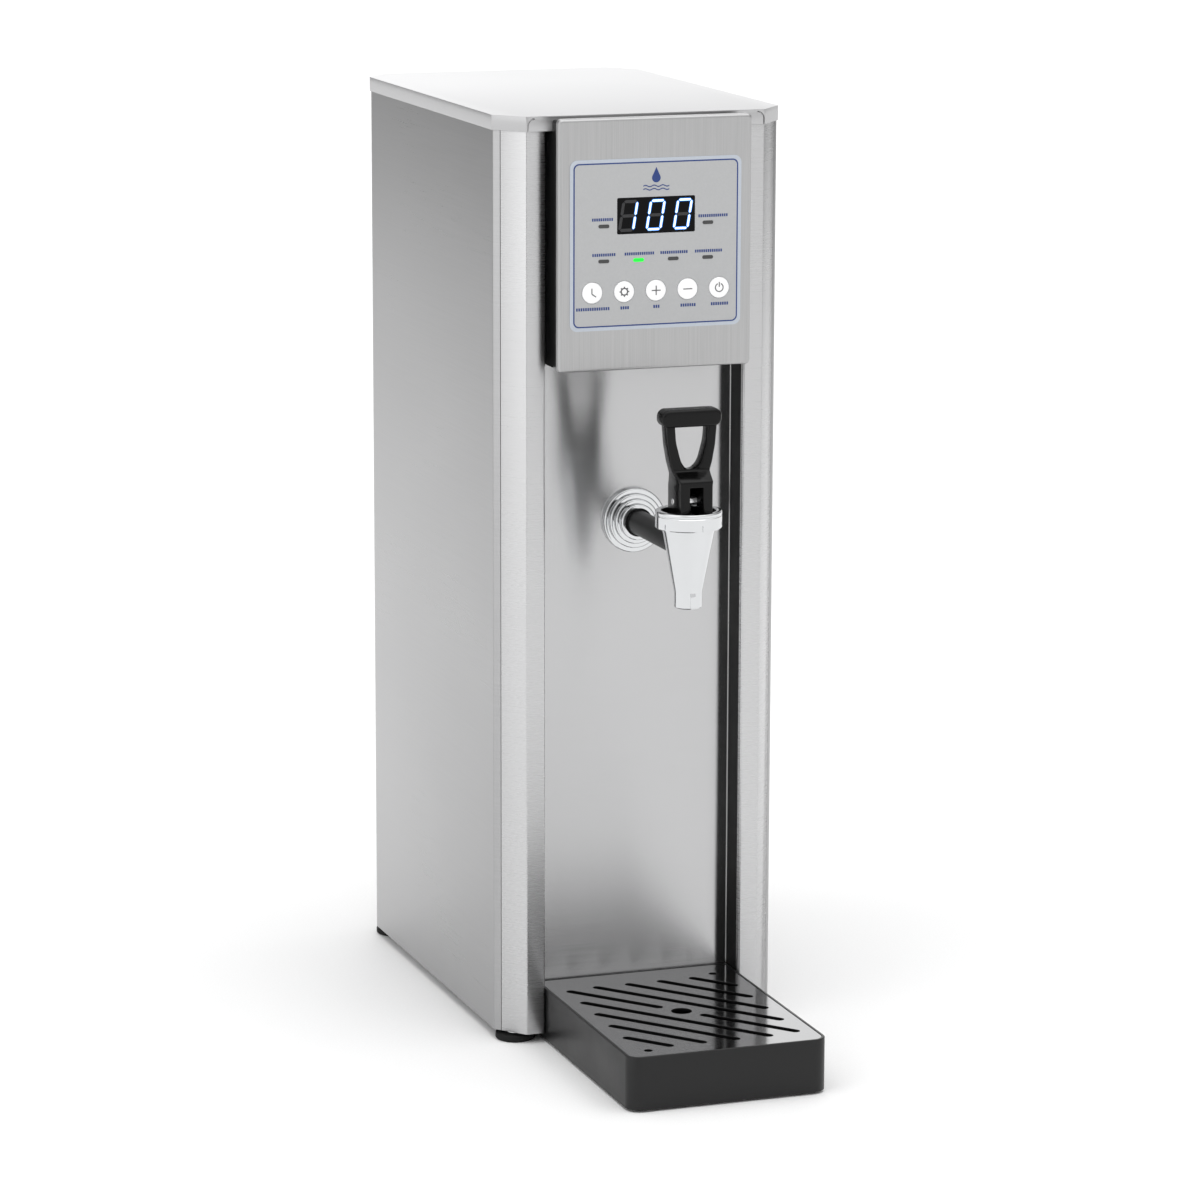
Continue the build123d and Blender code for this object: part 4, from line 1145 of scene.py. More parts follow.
@dataclass
class ControlHead:
    """Steel fascia with its printed label, display, lamps and buttons."""

    corner: float = 3.0 * MM
    rim: float = 2.2 * MM
    sheet: float = 1.0 * MM
    label_lap: float = 6.0 * MM
    film: float = 0.08 * MM
    border: float = 2.3 * MM
    line: float = 0.9 * MM
    label_radius: float = 5.0 * MM
    digit_pitch: float = 18.8 * MM
    digit_width: float = 9.4 * MM
    digit_height: float = 18.6 * MM
    stroke: float = 2.0 * MM
    slant: float = 0.16
    reading: str = "100"
    button_marks: tuple[tuple[str, Mark], ...] = (
        ("timer_button", Mark.CLOCK), ("set_button", Mark.GEAR), ("up_button", Mark.PLUS),
        ("down_button", Mark.MINUS), ("power_button", Mark.POWER))

    def build(self) -> None:
        """Model and dress every piece of the head."""
        self.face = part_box("label_overlay")[0][1]
        self.fascia()
        self.label()
        self.display()
        self.lamps()
        for name, mark in self.button_marks:
            self.button(name, mark)
        dress_node("control_housing", BLACK_HOUSING)
        dress_node("display_module", DARK_PARTS)
        dress_node("tactile_switches", DARK_PARTS)
        dress_node("control_board", BOARD)
        dress_node("board_standoffs", BRASS)

    def fascia(self) -> None:
        """Hollow steel front with soft folded edges and a window behind the label."""
        low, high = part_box("control_fascia")
        outline = rounded_rectangle((low[0], low[2]), (high[0], high[2]), self.corner)
        fascia = prism("fascia", lift_xz(outline, high[1]), (0, low[1] - high[1], 0))
        self.select_where(fascia, lambda centre: centre.y < low[1] + 0.1 * MM)
        bpy.ops.mesh.bevel(offset=self.rim, segments=5, affect="EDGES")
        bpy.ops.mesh.select_mode(type="VERT")
        leave_edit()
        face_out(fascia)
        sheet = self.sheet
        inner = rounded_rectangle((low[0] + sheet, low[2] + sheet), (high[0] - sheet, high[2] - sheet),
                                  2 * MM)
        carve(fascia, prism("hollow", lift_xz(inner, low[1] + sheet), (0, high[1] - low[1], 0)))
        label_low, label_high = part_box("label_overlay")
        lap = self.label_lap
        window = rounded_rectangle((label_low[0] + lap, label_low[2] + lap),
                                   (label_high[0] - lap, label_high[2] - lap), 3 * MM)
        carve(fascia, prism("window", lift_xz(window, low[1] - 5 * MM), (0, 10 * MM, 0)))
        smooth(fascia, 40)
        place(flatten(fascia), FASCIA_STEEL, "case", "fascia_steel", "control_fascia")

    @staticmethod
    def select_where(piece: bpy.types.Object, test: Callable[[Vector], bool]) -> None:
        """Open a piece in edit mode with the faces selected that pass a test.

        Args:
            piece: The piece.
            test: Function of a face's centre that says whether to select it.
        """
        enter_edit(piece)
        bpy.ops.mesh.select_mode(type="FACE")
        bpy.ops.mesh.select_all(action="DESELECT")
        leave_edit()
        for polygon in piece.data.polygons:
            polygon.select = bool(test(polygon.center))
        bpy.ops.object.mode_set(mode="EDIT")

    def sheet_of_film(self, name: str, outline: list[tuple[float, float]], layer: int) -> bpy.types.Object:
        """Thin printed shape on the label's face.

        Args:
            name: Name of the piece.
            outline: (x, z) corners.
            layer: How many films lie under it.

        Returns:
            The new piece.
        """
        back = self.face - self.film * layer
        return prism(name, lift_xz(outline, back), (0, -self.film, 0))

    def openings(self) -> list[bpy.types.Object]:
        """Cutters for the display, the lamps and the buttons.

        Returns:
            The cutters.
        """
        cutters = []
        depth = 3 * MM
        spare = 0.05 * MM
        low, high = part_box("display_window")
        outline = rounded_rectangle((low[0] - spare, low[2] - spare), (high[0] + spare, high[2] + spare),
                                    1.0 * MM)
        cutters.append(prism("cutter", lift_xz(outline, self.face - depth), (0, 2 * depth, 0)))
        for name, _ in self.button_marks:
            x, z, radius = self.button_place(name)
            cutters.append(cylinder("cutter", (x, self.face - depth, z), radius + 0.3 * MM, 2 * depth,
                                    Along.BACK, 64))
        return cutters

    def label(self) -> None:
        """Film with a pale edge, a navy line, a grey field and its pictograms."""
        low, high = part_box("label_overlay")
        dress_node("label_overlay", LABEL_EDGE)
        inset = self.border
        outer = rounded_rectangle((low[0] + inset, low[2] + inset), (high[0] - inset, high[2] - inset),
                                  self.label_radius - inset * 0.5)
        inset += self.line
        inner = rounded_rectangle((low[0] + inset, low[2] + inset), (high[0] - inset, high[2] - inset),
                                  self.label_radius - inset * 0.6)
        frame_line = self.sheet_of_film("label_line", outer, 0)
        field_film = self.sheet_of_film("label_field", inner, 1)
        for film in (frame_line, field_film):
            for cutter in self.openings():
                carve(film, cutter)
        place(frame_line, NAVY_INK, "case", "label_film")
        place(field_film, LABEL_FIELD, "case", "label_film")
        place(self.captions(), NAVY_INK, "case", "label_film")
        place(self.emblem(), NAVY_INK, "case", "label_film")

    def dots(self, x: float, z: float, width: float, height: float) -> list[bpy.types.Object]:
        """Row of small marks that stands in for a printed word.

        Args:
            x: Middle of the row.
            z: Middle height.
            width: Length of the row.
            height: Height of a mark.

        Returns:
            The marks.
        """
        pitch = height * 0.78
        count = max(3, round(width / pitch))
        marks = []
        for index in range(count):
            middle = x + (index - (count - 1) / 2) * pitch
            half = pitch * 0.34
            outline = [(middle - half, z - height / 2), (middle + half, z - height / 2),
                       (middle + half, z + height / 2), (middle - half, z + height / 2)]
            marks.append(self.sheet_of_film("mark", outline, 2))
        return marks

    def captions(self) -> bpy.types.Object:
        """Rows of marks over the lamps and under the buttons.

        Returns:
            All rows as one piece.
        """
        marks = []
        lamp_low, lamp_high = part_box("indicator_lamps")
        upper = lamp_high[2] + 3.2 * MM
        lower = lamp_low[2] + 5.4 * MM
        for x, z, width in ((-37, upper, 15), (39.5, upper, 21), (-36, lower, 16), (-11.5, lower, 21),
                            (12.5, lower, 19), (36.5, lower, 20)):
            marks += self.dots(x * MM, z, width * MM, 1.9 * MM)
        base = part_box("set_button")[0][2] - 2.6 * MM
        for index, width in enumerate((23, 7, 5, 11, 13)):
            marks += self.dots((index - 2) * 22 * MM + 0.5 * MM, base, width * MM, 2.0 * MM)
        return join(marks, "label_captions")

    def emblem(self) -> bpy.types.Object:
        """Plain water drop over two short waves.

        Returns:
            The emblem.
        """
        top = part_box("label_overlay")[1][2] - 6.0 * MM
        radius = 3.0 * MM
        centre = (0.0, top - 7.0 * MM)
        drop = [(0.0, top)] + arc(centre, radius, 35, -215, 20)
        pieces = [self.sheet_of_film("drop", drop, 2)]
        for index in range(2):
            z = top - (12.2 + 2.2 * index) * MM
            upper = []
            lower = []
            for step in range(25):
                x = (step - 12) * 0.75 * MM
                swell = 0.5 * MM * math.sin(step * math.tau / 8)
                upper.append((x, z + swell + 0.35 * MM))
                lower.append((x, z + swell - 0.35 * MM))
            pieces.append(self.sheet_of_film("wave", upper + lower[::-1], 2))
        return join(pieces, "label_emblem")

    def display(self) -> None:
        """Dark lens with three slanted seven-segment digits."""
        low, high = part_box("display_window")
        dress_node("display_window", LENS)
        face = low[1]
        middle = (low[2] + high[2]) / 2
        lit = []
        cores = []
        dark = []
        for index, digit in enumerate(self.reading):
            x = (index - 1) * self.digit_pitch - 0.3 * MM
            for name, outline in self.segments(x, middle, 0.0):
                on = name in SEGMENTS[digit]
                target = lit if on else dark
                target.append(prism("segment", lift_xz(outline, face), (0, -0.05 * MM, 0)))
            for name, outline in self.segments(x, middle, 0.42 * MM):
                if name in SEGMENTS[digit]:
                    cores.append(prism("core", lift_xz(outline, face - 0.05 * MM), (0, -0.04 * MM, 0)))
        place(join(lit, "digit_glow"), SEGMENT_GLOW, "case", "display_lens")
        place(join(cores, "digit_cores"), SEGMENT_CORE, "case", "display_lens")
        place(join(dark, "digit_dark"), SEGMENT_OFF, "case", "display_lens")

    def segments(self, x: float, z: float, shrink: float) -> list[tuple[str, list[tuple[float, float]]]]:
        """Outlines of the seven segments of one digit.

        Args:
            x: Middle of the digit.
            z: Middle height of the digit.
            shrink: How much narrower the strokes are.

        Returns:
            Letter and outline of each segment.
        """
        half_w = self.digit_width / 2
        half_h = self.digit_height / 2
        nodes = {"tl": (-half_w, half_h), "tr": (half_w, half_h), "ml": (-half_w, 0), "mr": (half_w, 0),
                 "bl": (-half_w, -half_h), "br": (half_w, -half_h)}
        runs = {"a": ("tl", "tr"), "b": ("tr", "mr"), "c": ("mr", "br"), "d": ("bl", "br"), "e": ("ml", "bl"),
                "f": ("tl", "ml"), "g": ("ml", "mr")}
        result = []
        half = self.stroke / 2 - shrink
        gap = 0.2 * MM + shrink
        for letter, (first, last) in runs.items():
            start = Vector(nodes[first])
            end = Vector(nodes[last])
            run = (end - start).normalized()
            across = Vector((-run.y, run.x)) * half
            start = start + run * gap
            end = end - run * gap
            tip = run * half
            corners = [start, start + tip + across, end - tip + across, end, end - tip - across,
                       start + tip - across]
            result.append((letter, [(x + p.x + p.y * self.slant, z + p.y) for p in corners]))
        return result

    def lamps(self) -> None:
        """Rounded lamp lenses, one of them lit."""
        low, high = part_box("indicator_lamps")
        width = 7.5 * MM
        height = 2.4 * MM
        left = low[0] + width / 2
        lower = low[2] + height / 2
        upper = high[2] - height / 2
        places = [(left, upper), (-left, upper)] + [(left + 24 * MM * index, lower) for index in range(4)]
        active = 3
        off = []
        for index, (x, z) in enumerate(places):
            outline = rounded_rectangle((x - width / 2, z - height / 2), (x + width / 2, z + height / 2),
                                        height * 0.48)
            lens = prism("lamp", lift_xz(outline, self.face + 0.3 * MM), (0, -0.75 * MM, 0))
            smooth(bevel(lens, 0.25 * MM, 3, 50), 60)
            if index == active:
                lens.name = "filling_lamp"
                place(lens, LAMP_ON, "case", "lamp_guide")
            else:
                off.append(lens)
        place(join(off, "lamp_lenses"), LAMP_OFF, "case", "lamp_guide", "indicator_lamps")

    def button_place(self, name: str) -> tuple[float, float, float]:
        """Centre and radius of a button.

        Args:
            name: The button's node.

        Returns:
            X, Z and radius.
        """
        low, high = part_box(name)
        collar = 1.2 * MM
        return (low[0] + high[0]) / 2, (low[2] + high[2]) / 2, (high[0] - low[0]) / 2 - collar

    def button(self, name: str, mark: Mark) -> None:
        """White button with a faint painted glow, a soft edge and its pictogram.

        Args:
            name: The button's node.
            mark: The pictogram on it.
        """
        x, z, radius = self.button_place(name)
        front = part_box(name)[0][1]
        edge = 0.5 * MM
        collar = radius + 1.1 * MM
        profile = [(0, 4.0 * MM), (collar, 4.0 * MM), (collar, 3.4 * MM), (radius, 3.4 * MM)]
        profile += [(radius - edge + px, edge - py) for px, py in arc((0, 0), edge, 0, 90, 5)]
        profile += [(radius * 0.5, 0), (0, 0)]
        cap = smooth(turned(name + "_cap", (x, front, z), profile, Along.BACK, 64))
        body = name + "_body"
        place(cap, BUTTON_PAINTED_GLOW, body, "button_cap", name)
        place(self.pictogram(mark, x, front, z), GREY_INK, body, "button_cap")

    def bar(self, start: tuple[float, float], end: tuple[float, float], width: float,
            y: float) -> bpy.types.Object:
        """Straight printed stroke.

        Args:
            start: First end, as (x, z).
            end: Second end.
            width: Width of the stroke.
            y: Depth of the surface it is printed on.

        Returns:
            The stroke.
        """
        run = (Vector(end) - Vector(start)).normalized()
        across = Vector((-run.y, run.x)) * width / 2
        corners = [Vector(start) - across, Vector(end) - across, Vector(end) + across, Vector(start) + across]
        return prism("stroke", lift_xz([tuple(corner) for corner in corners], y), (0, -self.film, 0))

    def ring(self, centre: tuple[float, float], radius: float, width: float, y: float, start: float = 0.0,
             end: float = 360.0) -> bpy.types.Object:
        """Printed ring or part of one.

        Args:
            centre: Centre, as (x, z).
            radius: Middle radius.
            width: Width of the line.
            y: Depth of the surface it is printed on.
            start: First angle in degrees.
            end: Last angle in degrees.

        Returns:
            The ring.
        """
        outer = arc(centre, radius + width / 2, start, end - 0.5, 36)
        inner = arc(centre, radius - width / 2, end - 0.5, start, 36)
        return prism("ring", lift_xz(outer + inner, y), (0, -self.film, 0))

    def pictogram(self, mark: Mark, x: float, y: float, z: float) -> bpy.types.Object:
        """Printed mark of a button.

        Args:
            mark: Which mark.
            x: Centre.
            y: Depth of the button's face.
            z: Centre.

        Returns:
            The mark.
        """
        thin = 0.7 * MM
        reach = 3.1 * MM
        if mark is Mark.PLUS:
            strokes = [self.bar((x - reach, z), (x + reach, z), thin, y),
                       self.bar((x, z - reach), (x, z + reach), thin, y - self.film)]
        elif mark is Mark.MINUS:
            strokes = [self.bar((x - reach, z), (x + reach, z), thin, y)]
        elif mark is Mark.CLOCK:
            strokes = [self.bar((x - 0.4 * MM, z + 3.0 * MM), (x - 0.4 * MM, z - 0.6 * MM), thin, y),
                       self.bar((x - 0.4 * MM, z - 0.6 * MM), (x + 2.4 * MM, z - 2.6 * MM), thin,
                                y - self.film)]
        elif mark is Mark.POWER:
            strokes = [self.ring((x, z), 2.7 * MM, thin, y, 115, 425),
                       self.bar((x, z + 0.4 * MM), (x, z + 3.6 * MM), thin, y - self.film)]
        else:
            strokes = [self.ring((x, z), 2.2 * MM, 0.9 * MM, y)]
            for index in range(8):
                angle = math.tau * index / 8
                direction = Vector((math.cos(angle), math.sin(angle)))
                middle = Vector((x, z))
                start = middle + direction * 2.3 * MM
                end = middle + direction * 3.3 * MM
                strokes.append(self.bar(tuple(start), tuple(end), 0.8 * MM, y - self.film))
        return join(strokes, mark.value + "_mark")


# ---------------------------------------------------------------- tap

@dataclass
class Tap:
    """Lever tap: rosette, shank, cone, bonnet and lever."""

    rosette_steps: tuple[tuple[float, float, float], ...] = (
        (21.75, 0.0, 4.2), (18.4, 4.2, 6.8), (15.2, 6.8, 9.0), (12.2, 9.0, 12.2))
    shank_radius: float = 8.2 * MM
    spout_radius: float = 9.1 * MM
    spout_bore: float = 6.5 * MM
    cone_foot: float = 323.5 * MM
    notch_count: int = 6

    def build(self) -> None:
        """Model and dress every piece of the tap."""
        low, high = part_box("tap_body")
        self.x = (low[0] + high[0]) / 2
        self.y = (low[1] + high[1]) / 2
        self.rosette()
        self.shank()
        self.cone()
        self.bonnet()
        self.lever()
        self.pin()
        dress_node("shank_nut", BRASS)
        dress_node("valve_stem", PIN_METAL)
        dress_node("valve_spring", PIN_METAL)
        dress_node("seat_cup", RUBBER)

    def rosette(self) -> None:
        """Chrome flange whose steps have rolled edges."""
        low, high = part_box("tap_rosette")
        centre = (self.x, high[1], (low[2] + high[2]) / 2)
        profile = [(self.shank_radius, 0.0)]
        for radius, start, end in self.rosette_steps:
            outer = radius * MM
            roll = 1.15 * MM
            profile.append((outer - 0.25 * MM, start * MM))
            profile.append((outer, (start + 0.35) * MM))
            profile += arc((outer - roll, end * MM - roll), roll, 0, 90, 6)
        profile.append((self.shank_radius + 1.4 * MM, self.rosette_steps[-1][2] * MM))
        profile.append((self.shank_radius, (self.rosette_steps[-1][2] - 1.0) * MM))
        profile.append(profile[0])
        rosette = turned("rosette", centre, profile, Along.FORWARD, 128)
        place(smooth(rosette), CHROME, "case", "chrome", "tap_rosette")

    def shank(self) -> None:
        """Black shank between the panel and the cone."""
        low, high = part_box("tap_shank")
        centre = (self.x, high[1], (low[2] + high[2]) / 2)
        length = high[1] - low[1]
        radius = self.shank_radius
        profile = [(5 * MM, 0), (radius - 0.4 * MM, 0), (radius - 0.02 * MM, 0.4 * MM),
                   (radius - 0.02 * MM, length - 0.1 * MM), (5 * MM, length - 0.1 * MM), (5 * MM, 0)]
        shank = turned("shank", centre, profile, Along.FORWARD, 64)
        place(smooth(shank), BLACK_HOUSING, "case", "black_housing", "tap_shank")

    def cone(self) -> None:
        """Chrome cone with its straight outlet and open bore."""
        low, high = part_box("tap_body")
        bottom = low[2]
        top = high[2]
        wide = (high[0] - low[0]) / 2
        tip = self.spout_radius
        seat = bottom + 20 * MM
        outer = [(self.spout_bore, bottom), (tip - 0.7 * MM, bottom), (tip, bottom + 0.7 * MM),
                 (tip, self.cone_foot - 3.4 * MM)]
        outer += [(tip + 0.25 * MM, self.cone_foot - 1.2 * MM), (tip + 0.7 * MM, self.cone_foot + 1.2 * MM)]
        outer += [(wide - 0.9 * MM, top - 3.6 * MM), (wide - 0.1 * MM, top - 0.6 * MM),
                  (wide - 0.6 * MM, top)]
        inner = [(wide - 3.0 * MM, top), (tip - 1.3 * MM, seat), (self.spout_bore, seat),
                 (self.spout_bore, bottom)]
        cone = turned("cone", (self.x, self.y, 0), outer + inner, Along.UP, 128)
        shank_low, shank_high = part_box("tap_shank")
        port = cylinder("port", (self.x, self.y + 5 * MM, (shank_low[2] + shank_high[2]) / 2),
                        self.shank_radius, 25 * MM, Along.BACK, 64)
        carve(cone, port)
        rib = brick("rib", (self.x - 1.8 * MM, self.y - tip - 0.35 * MM, bottom + 0.8 * MM),
                    (self.x + 1.8 * MM, self.y - tip + 1.0 * MM, bottom + 10.5 * MM))
        bevel(rib, 0.25 * MM, 2)
        carve(cone, rib, "UNION")
        place(smooth(cone, 35), CHROME, "case", "chrome", "tap_body")

    def bonnet(self) -> None:
        """Chrome bonnet ring with spanner notches and a rolled rim."""
        low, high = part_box("bonnet_ring")
        radius = (high[0] - low[0]) / 2
        bore = radius - 3.9 * MM
        floor = low[2] + 3.4 * MM
        rim = 1.0 * MM
        profile = [(3.05 * MM, low[2]), (radius - 0.6 * MM, low[2]), (radius, low[2] + 0.6 * MM)]
        profile += [(radius, high[2] - 3.4 * MM), (radius - 0.25 * MM, high[2] - 3.1 * MM)]
        profile += [(radius - 0.25 * MM, high[2] - 2.6 * MM), (radius, high[2] - 2.3 * MM)]
        profile += arc((radius - rim, high[2] - rim), rim, 0, 90, 5)
        profile += arc((bore + 0.6 * MM, high[2] - 0.6 * MM), 0.6 * MM, 90, 180, 4)
        profile += [(bore, floor), (3.05 * MM, floor), (3.05 * MM, low[2])]
        ring = turned("bonnet", (self.x, self.y, 0), profile, Along.UP, 128)
        for index in range(self.notch_count):
            angle = math.radians(30 + 360 * index / self.notch_count)
            notch = brick("notch", (radius - 1.1 * MM, -2.1 * MM, low[2] - 1 * MM),
                          (radius + 2 * MM, 2.1 * MM, low[2] + 4.4 * MM))
            bevel(notch, 0.5 * MM, 2)
            notch.data.transform(Matrix.Translation((self.x, self.y, 0)) @ Matrix.Rotation(angle, 4, "Z"))
            carve(ring, notch)
        place(smooth(ring, 35), CHROME, "case", "chrome", "bonnet_ring")

    def lever(self) -> None:
        """Black lever: slotted foot, open loop with two arms, and a cross bar."""
        low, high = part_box("tap_lever")
        bar_low = high[2] - 11.6 * MM
        frame_solid = self.lever_frame(low[2], bar_low)
        lever = join([frame_solid, self.cross_bar(low, high, bar_low)], "lever")
        place(smooth(lever, 50), LEVER_PLASTIC, "lever", "lever_plastic", "tap_lever")

    def lever_frame(self, foot: float, bar_low: float) -> bpy.types.Object:
        """Foot and arms in one: the front outline cut by the side outline.

        Args:
            foot: Lowest height of the lever.
            bar_low: Underside of the cross bar; not used.

        Returns:
            The foot with its arms.
        """
        front = 15.5 * MM
        rear = 9.5 * MM
        right = [(11.0, 0), (11.0, 25), (12.0, 31), (14.2, 39), (16.2, 50), (17.4, 65)]
        shape = [(-11.0, 0)] + right + [(-x, z) for x, z in reversed(right[1:])]
        corners = [(self.x + x * MM, foot + z * MM) for x, z in shape]
        bend = 14 * MM
        radii = [0, 0, bend, bend, bend, bend, 0, 0, bend, bend, bend, bend]
        outline = rounded_corners(corners, radii, True, 3)
        solid = prism("lever", lift_xz(outline, self.y + rear), (0, -front - rear, 0))
        sides = [(rear, -1), (-front, -1), (-front, 27.6), (-5.5 * MM, 33.5), (-5.5 * MM, 66), (5.5 * MM, 66),
                 (5.5 * MM, 31), (rear, 24)]
        profile = [(self.x - 30 * MM, self.y + y, foot + z * MM) for y, z in sides]
        carve(solid, prism("sides", profile, (60 * MM, 0, 0)), "INTERSECT")
        window = [(-11.6, 65), (-10.6, 52), (-6.8, 38), (0, 31.4), (6.8, 38), (10.6, 52), (11.6, 65)]
        corners = [(self.x + x * MM, foot + z * MM) for x, z in window]
        outline = rounded_corners(corners, [0, 30 * MM, 14 * MM, 6 * MM, 14 * MM, 30 * MM, 0], True, 6)
        carve(solid, prism("window", lift_xz(outline, self.y + 2 * front), (0, -4 * front, 0)))
        slot = brick("slot", (self.x - 4.5 * MM, self.y - 2 * front, foot - 5 * MM),
                     (self.x + 4.5 * MM, self.y + 6 * MM, foot + 23.6 * MM))
        carve(solid, slot)
        return bevel(solid, 1.0 * MM, 3, 40, False)

    def cross_bar(self, low: Point, high: Point, bar_low: float) -> bpy.types.Object:
        """Grip bar with full round ends.

        Args:
            low: Lowest corner of the lever.
            high: Highest corner of the lever.
            bar_low: Underside of the bar.

        Returns:
            The bar.
        """
        outline = rounded_rectangle((low[0], bar_low), (high[0], high[2]), 5.2 * MM, 8)
        depth = 6.75 * MM
        bar = prism("bar", lift_xz(outline, self.y + depth), (0, -2 * depth, 0))
        return bevel(bar, 2.4 * MM, 5, 50)

    def pin(self) -> None:
        """Pin with domed ends."""
        low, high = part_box("lever_pin")
        radius = (high[2] - low[2]) / 2
        length = high[0] - low[0]
        dome = 0.6 * MM
        profile = [(0, 0), (radius - dome, 0.05 * MM), (radius, dome), (radius, length - dome),
                   (radius - dome, length - 0.05 * MM), (0, length)]
        pin = turned("pin", (0, 0, 0), profile, Along.UP, 40)
        centre = (low[0], (low[1] + high[1]) / 2, (low[2] + high[2]) / 2)
        pin.data.transform(Matrix.Translation(centre) @ Matrix.Rotation(math.radians(90), 4, "Y"))
        place(smooth(pin), PIN_METAL, "lever", "pin_steel", "lever_pin")


# ---------------------------------------------------------------- drip tray

@dataclass
class DripTray:
    """Black tray with its steel grid."""

    corner: float = 9.5 * MM
    rim: float = 1.7 * MM
    ledge: float = 2.0 * MM
    slot_width: float = 6.2 * MM
    slope: float = 1.22
    pitch: float = 28.0 * MM
    field_x: float = 54.4 * MM
    field_y: float = 69.9 * MM
    lines: int = 4
    finger_radius: float = 6.9 * MM
    hole_radius: float = 2.8 * MM
    hole_x: float = 51.0 * MM
    hole_y: float = 76.0 * MM

    def build(self) -> None:
        """Model and dress the tray, its grid and its pads."""
        self.basin()
        self.grid()
        dress_node("tray_pads", RUBBER)

    def basin(self) -> None:
        """Basin with a thin rim, a ledge for the grid and soft edges."""
        low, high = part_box("drip_tray")
        plan = [(low[0], low[1]), (high[0], low[1]), (high[0], high[1]), (low[0], high[1])]
        radii = [self.corner, self.corner, 1 * MM, 1 * MM]
        outline = rounded_corners(plan, radii, True, 8)
        tray = prism("basin", lift_xy(outline, low[2]), (0, 0, high[2] - low[2]))
        bevel(tray, 0.55 * MM, 3, 60)
        for inset, floor in ((self.rim, high[2] - self.ledge), (self.rim + 1.1 * MM, low[2] + 2.2 * MM)):
            corners = [(low[0] + inset, low[1] + inset), (high[0] - inset, low[1] + inset),
                       (high[0] - inset, high[1] - inset), (low[0] + inset, high[1] - inset)]
            radius = self.corner - inset
            hollow = rounded_corners(corners, [radius, radius, 2 * MM, 2 * MM], True, 8)
            carve(tray, prism("hollow", lift_xy(hollow, floor), (0, 0, 50 * MM)))
        place(smooth(tray, 40), TRAY_PLASTIC, "tray", "tray_plastic", "drip_tray")

    def slot_ends(self, offset: float) -> tuple[Vector, Vector]:
        """Ends of the slot line that lies `offset` above the middle one.

        Args:
            offset: Distance along Y in metres.

        Returns:
            The left end and the right end, from the middle of the slots.
        """
        left = max(-self.field_x, (offset - self.field_y) / self.slope)
        right = min(self.field_x, (offset + self.field_y) / self.slope)
        return Vector((left, offset - self.slope * left)), Vector((right, offset - self.slope * right))

    def slot_cutter(self, start: Vector, end: Vector, middle_y: float, low: float) -> bpy.types.Object:
        """Cutter with round ends between two points.

        Args:
            start: First end.
            end: Second end.
            middle_y: Y of the middle of the slots.
            low: Height under the grid.

        Returns:
            The cutter.
        """
        run = end - start
        angle = math.degrees(math.atan2(run.y, run.x))
        half = self.slot_width / 2
        outline = arc(tuple(end), half, angle - 90, angle + 90, 8)
        outline += arc(tuple(start), half, angle + 90, angle + 270, 8)
        return prism("slot", [(x, y + middle_y, low) for x, y in outline], (0, 0, 10 * MM))

    def grid(self) -> None:
        """Grid with its slots, finger hole and corner holes, all with a pressed edge; the inner walls of the
        openings are near-black, painted shade.
        """
        low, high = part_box("drip_grid")
        tray_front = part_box("drip_tray")[0][1]
        middle_y = tray_front + 90 * MM
        plan = [(low[0], low[1]), (high[0], low[1]), (high[0], high[1]), (low[0], high[1])]
        radius = self.corner - (low[0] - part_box("drip_tray")[0][0])
        outline = rounded_corners(plan, [radius, radius, 2 * MM, 2 * MM], True, 8)
        grid = prism("grid", lift_xy(outline, low[2]), (0, 0, high[2] - low[2]))
        under = low[2] - 5 * MM
        cutters = []
        gap = 11.2 * MM
        for line in range(-self.lines, self.lines + 1):
            start, end = self.slot_ends(self.pitch * line)
            if line:
                cutters.append(self.slot_cutter(start, end, middle_y, under))
            else:
                near = Vector((-gap, self.slope * gap))
                cutters.append(self.slot_cutter(start, near, middle_y, under))
                cutters.append(self.slot_cutter(-near, end, middle_y, under))
        cutters.append(cylinder("hole", (0, middle_y, under), self.finger_radius, 10 * MM))
        for side in (-1, 1):
            y = middle_y + side * self.hole_y
            cutters.append(cylinder("hole", (side * self.hole_x, y, under), self.hole_radius, 10 * MM))
        carve(grid, join(cutters, "cutters"))
        bevel(grid, 0.2 * MM, 2, 50)
        place(flatten(smooth(grid, 40)), GRID_STEEL, "grid", "grid_steel", "drip_grid")
        # The inner walls of the slots and holes get the near-black second material, painted shade.
        grid.data.materials.append(PAINT.get(SLOT_WALL_SHADE))
        for polygon in grid.data.polygons:
            inside = low[0] + 4 * MM < polygon.center.x < high[0] - 4 * MM
            inside = inside and low[1] + 4 * MM < polygon.center.y < high[1] - 4 * MM
            if inside and polygon.normal.z < 0.8:
                polygon.material_index = 1


# ---------------------------------------------------------------- rear and inside

class Fittings:
    """Finishes of the fittings at the back and of everything inside."""

    INSIDE: dict[str, Finish] = {
        "water_tank": PLAIN_STEEL, "tank_lid": PLAIN_STEEL, "heating_element": PIN_METAL,
        "tank_probes": PIN_METAL, "tank_brackets": PLAIN_STEEL, "steel_pipes": PIN_METAL,
        "tank_seals": SILICONE, "outlet_hose": SILICONE, "tank_jacket": FELT,
        "overheat_cutout": DARK_PARTS, "power_board": BOARD, "terminal_block": WHITE_NYLON,
        "valve_coil": DARK_PARTS,
    }
    REAR: dict[str, Finish] = {
        "inlet_valve": WHITE_NYLON, "drain_cock": BRASS, "drain_handle": RED_PLASTIC,
        "cable_gland": DARK_PARTS,
        "switch_frame": DARK_PARTS, "switch_rocker": RED_PLASTIC,
    }

    def build(self) -> None:
        """Dress every fitting."""
        for name, finish in {**self.INSIDE, **self.REAR}.items():
            dress_node(name, finish)


# ---------------------------------------------------------------- stage

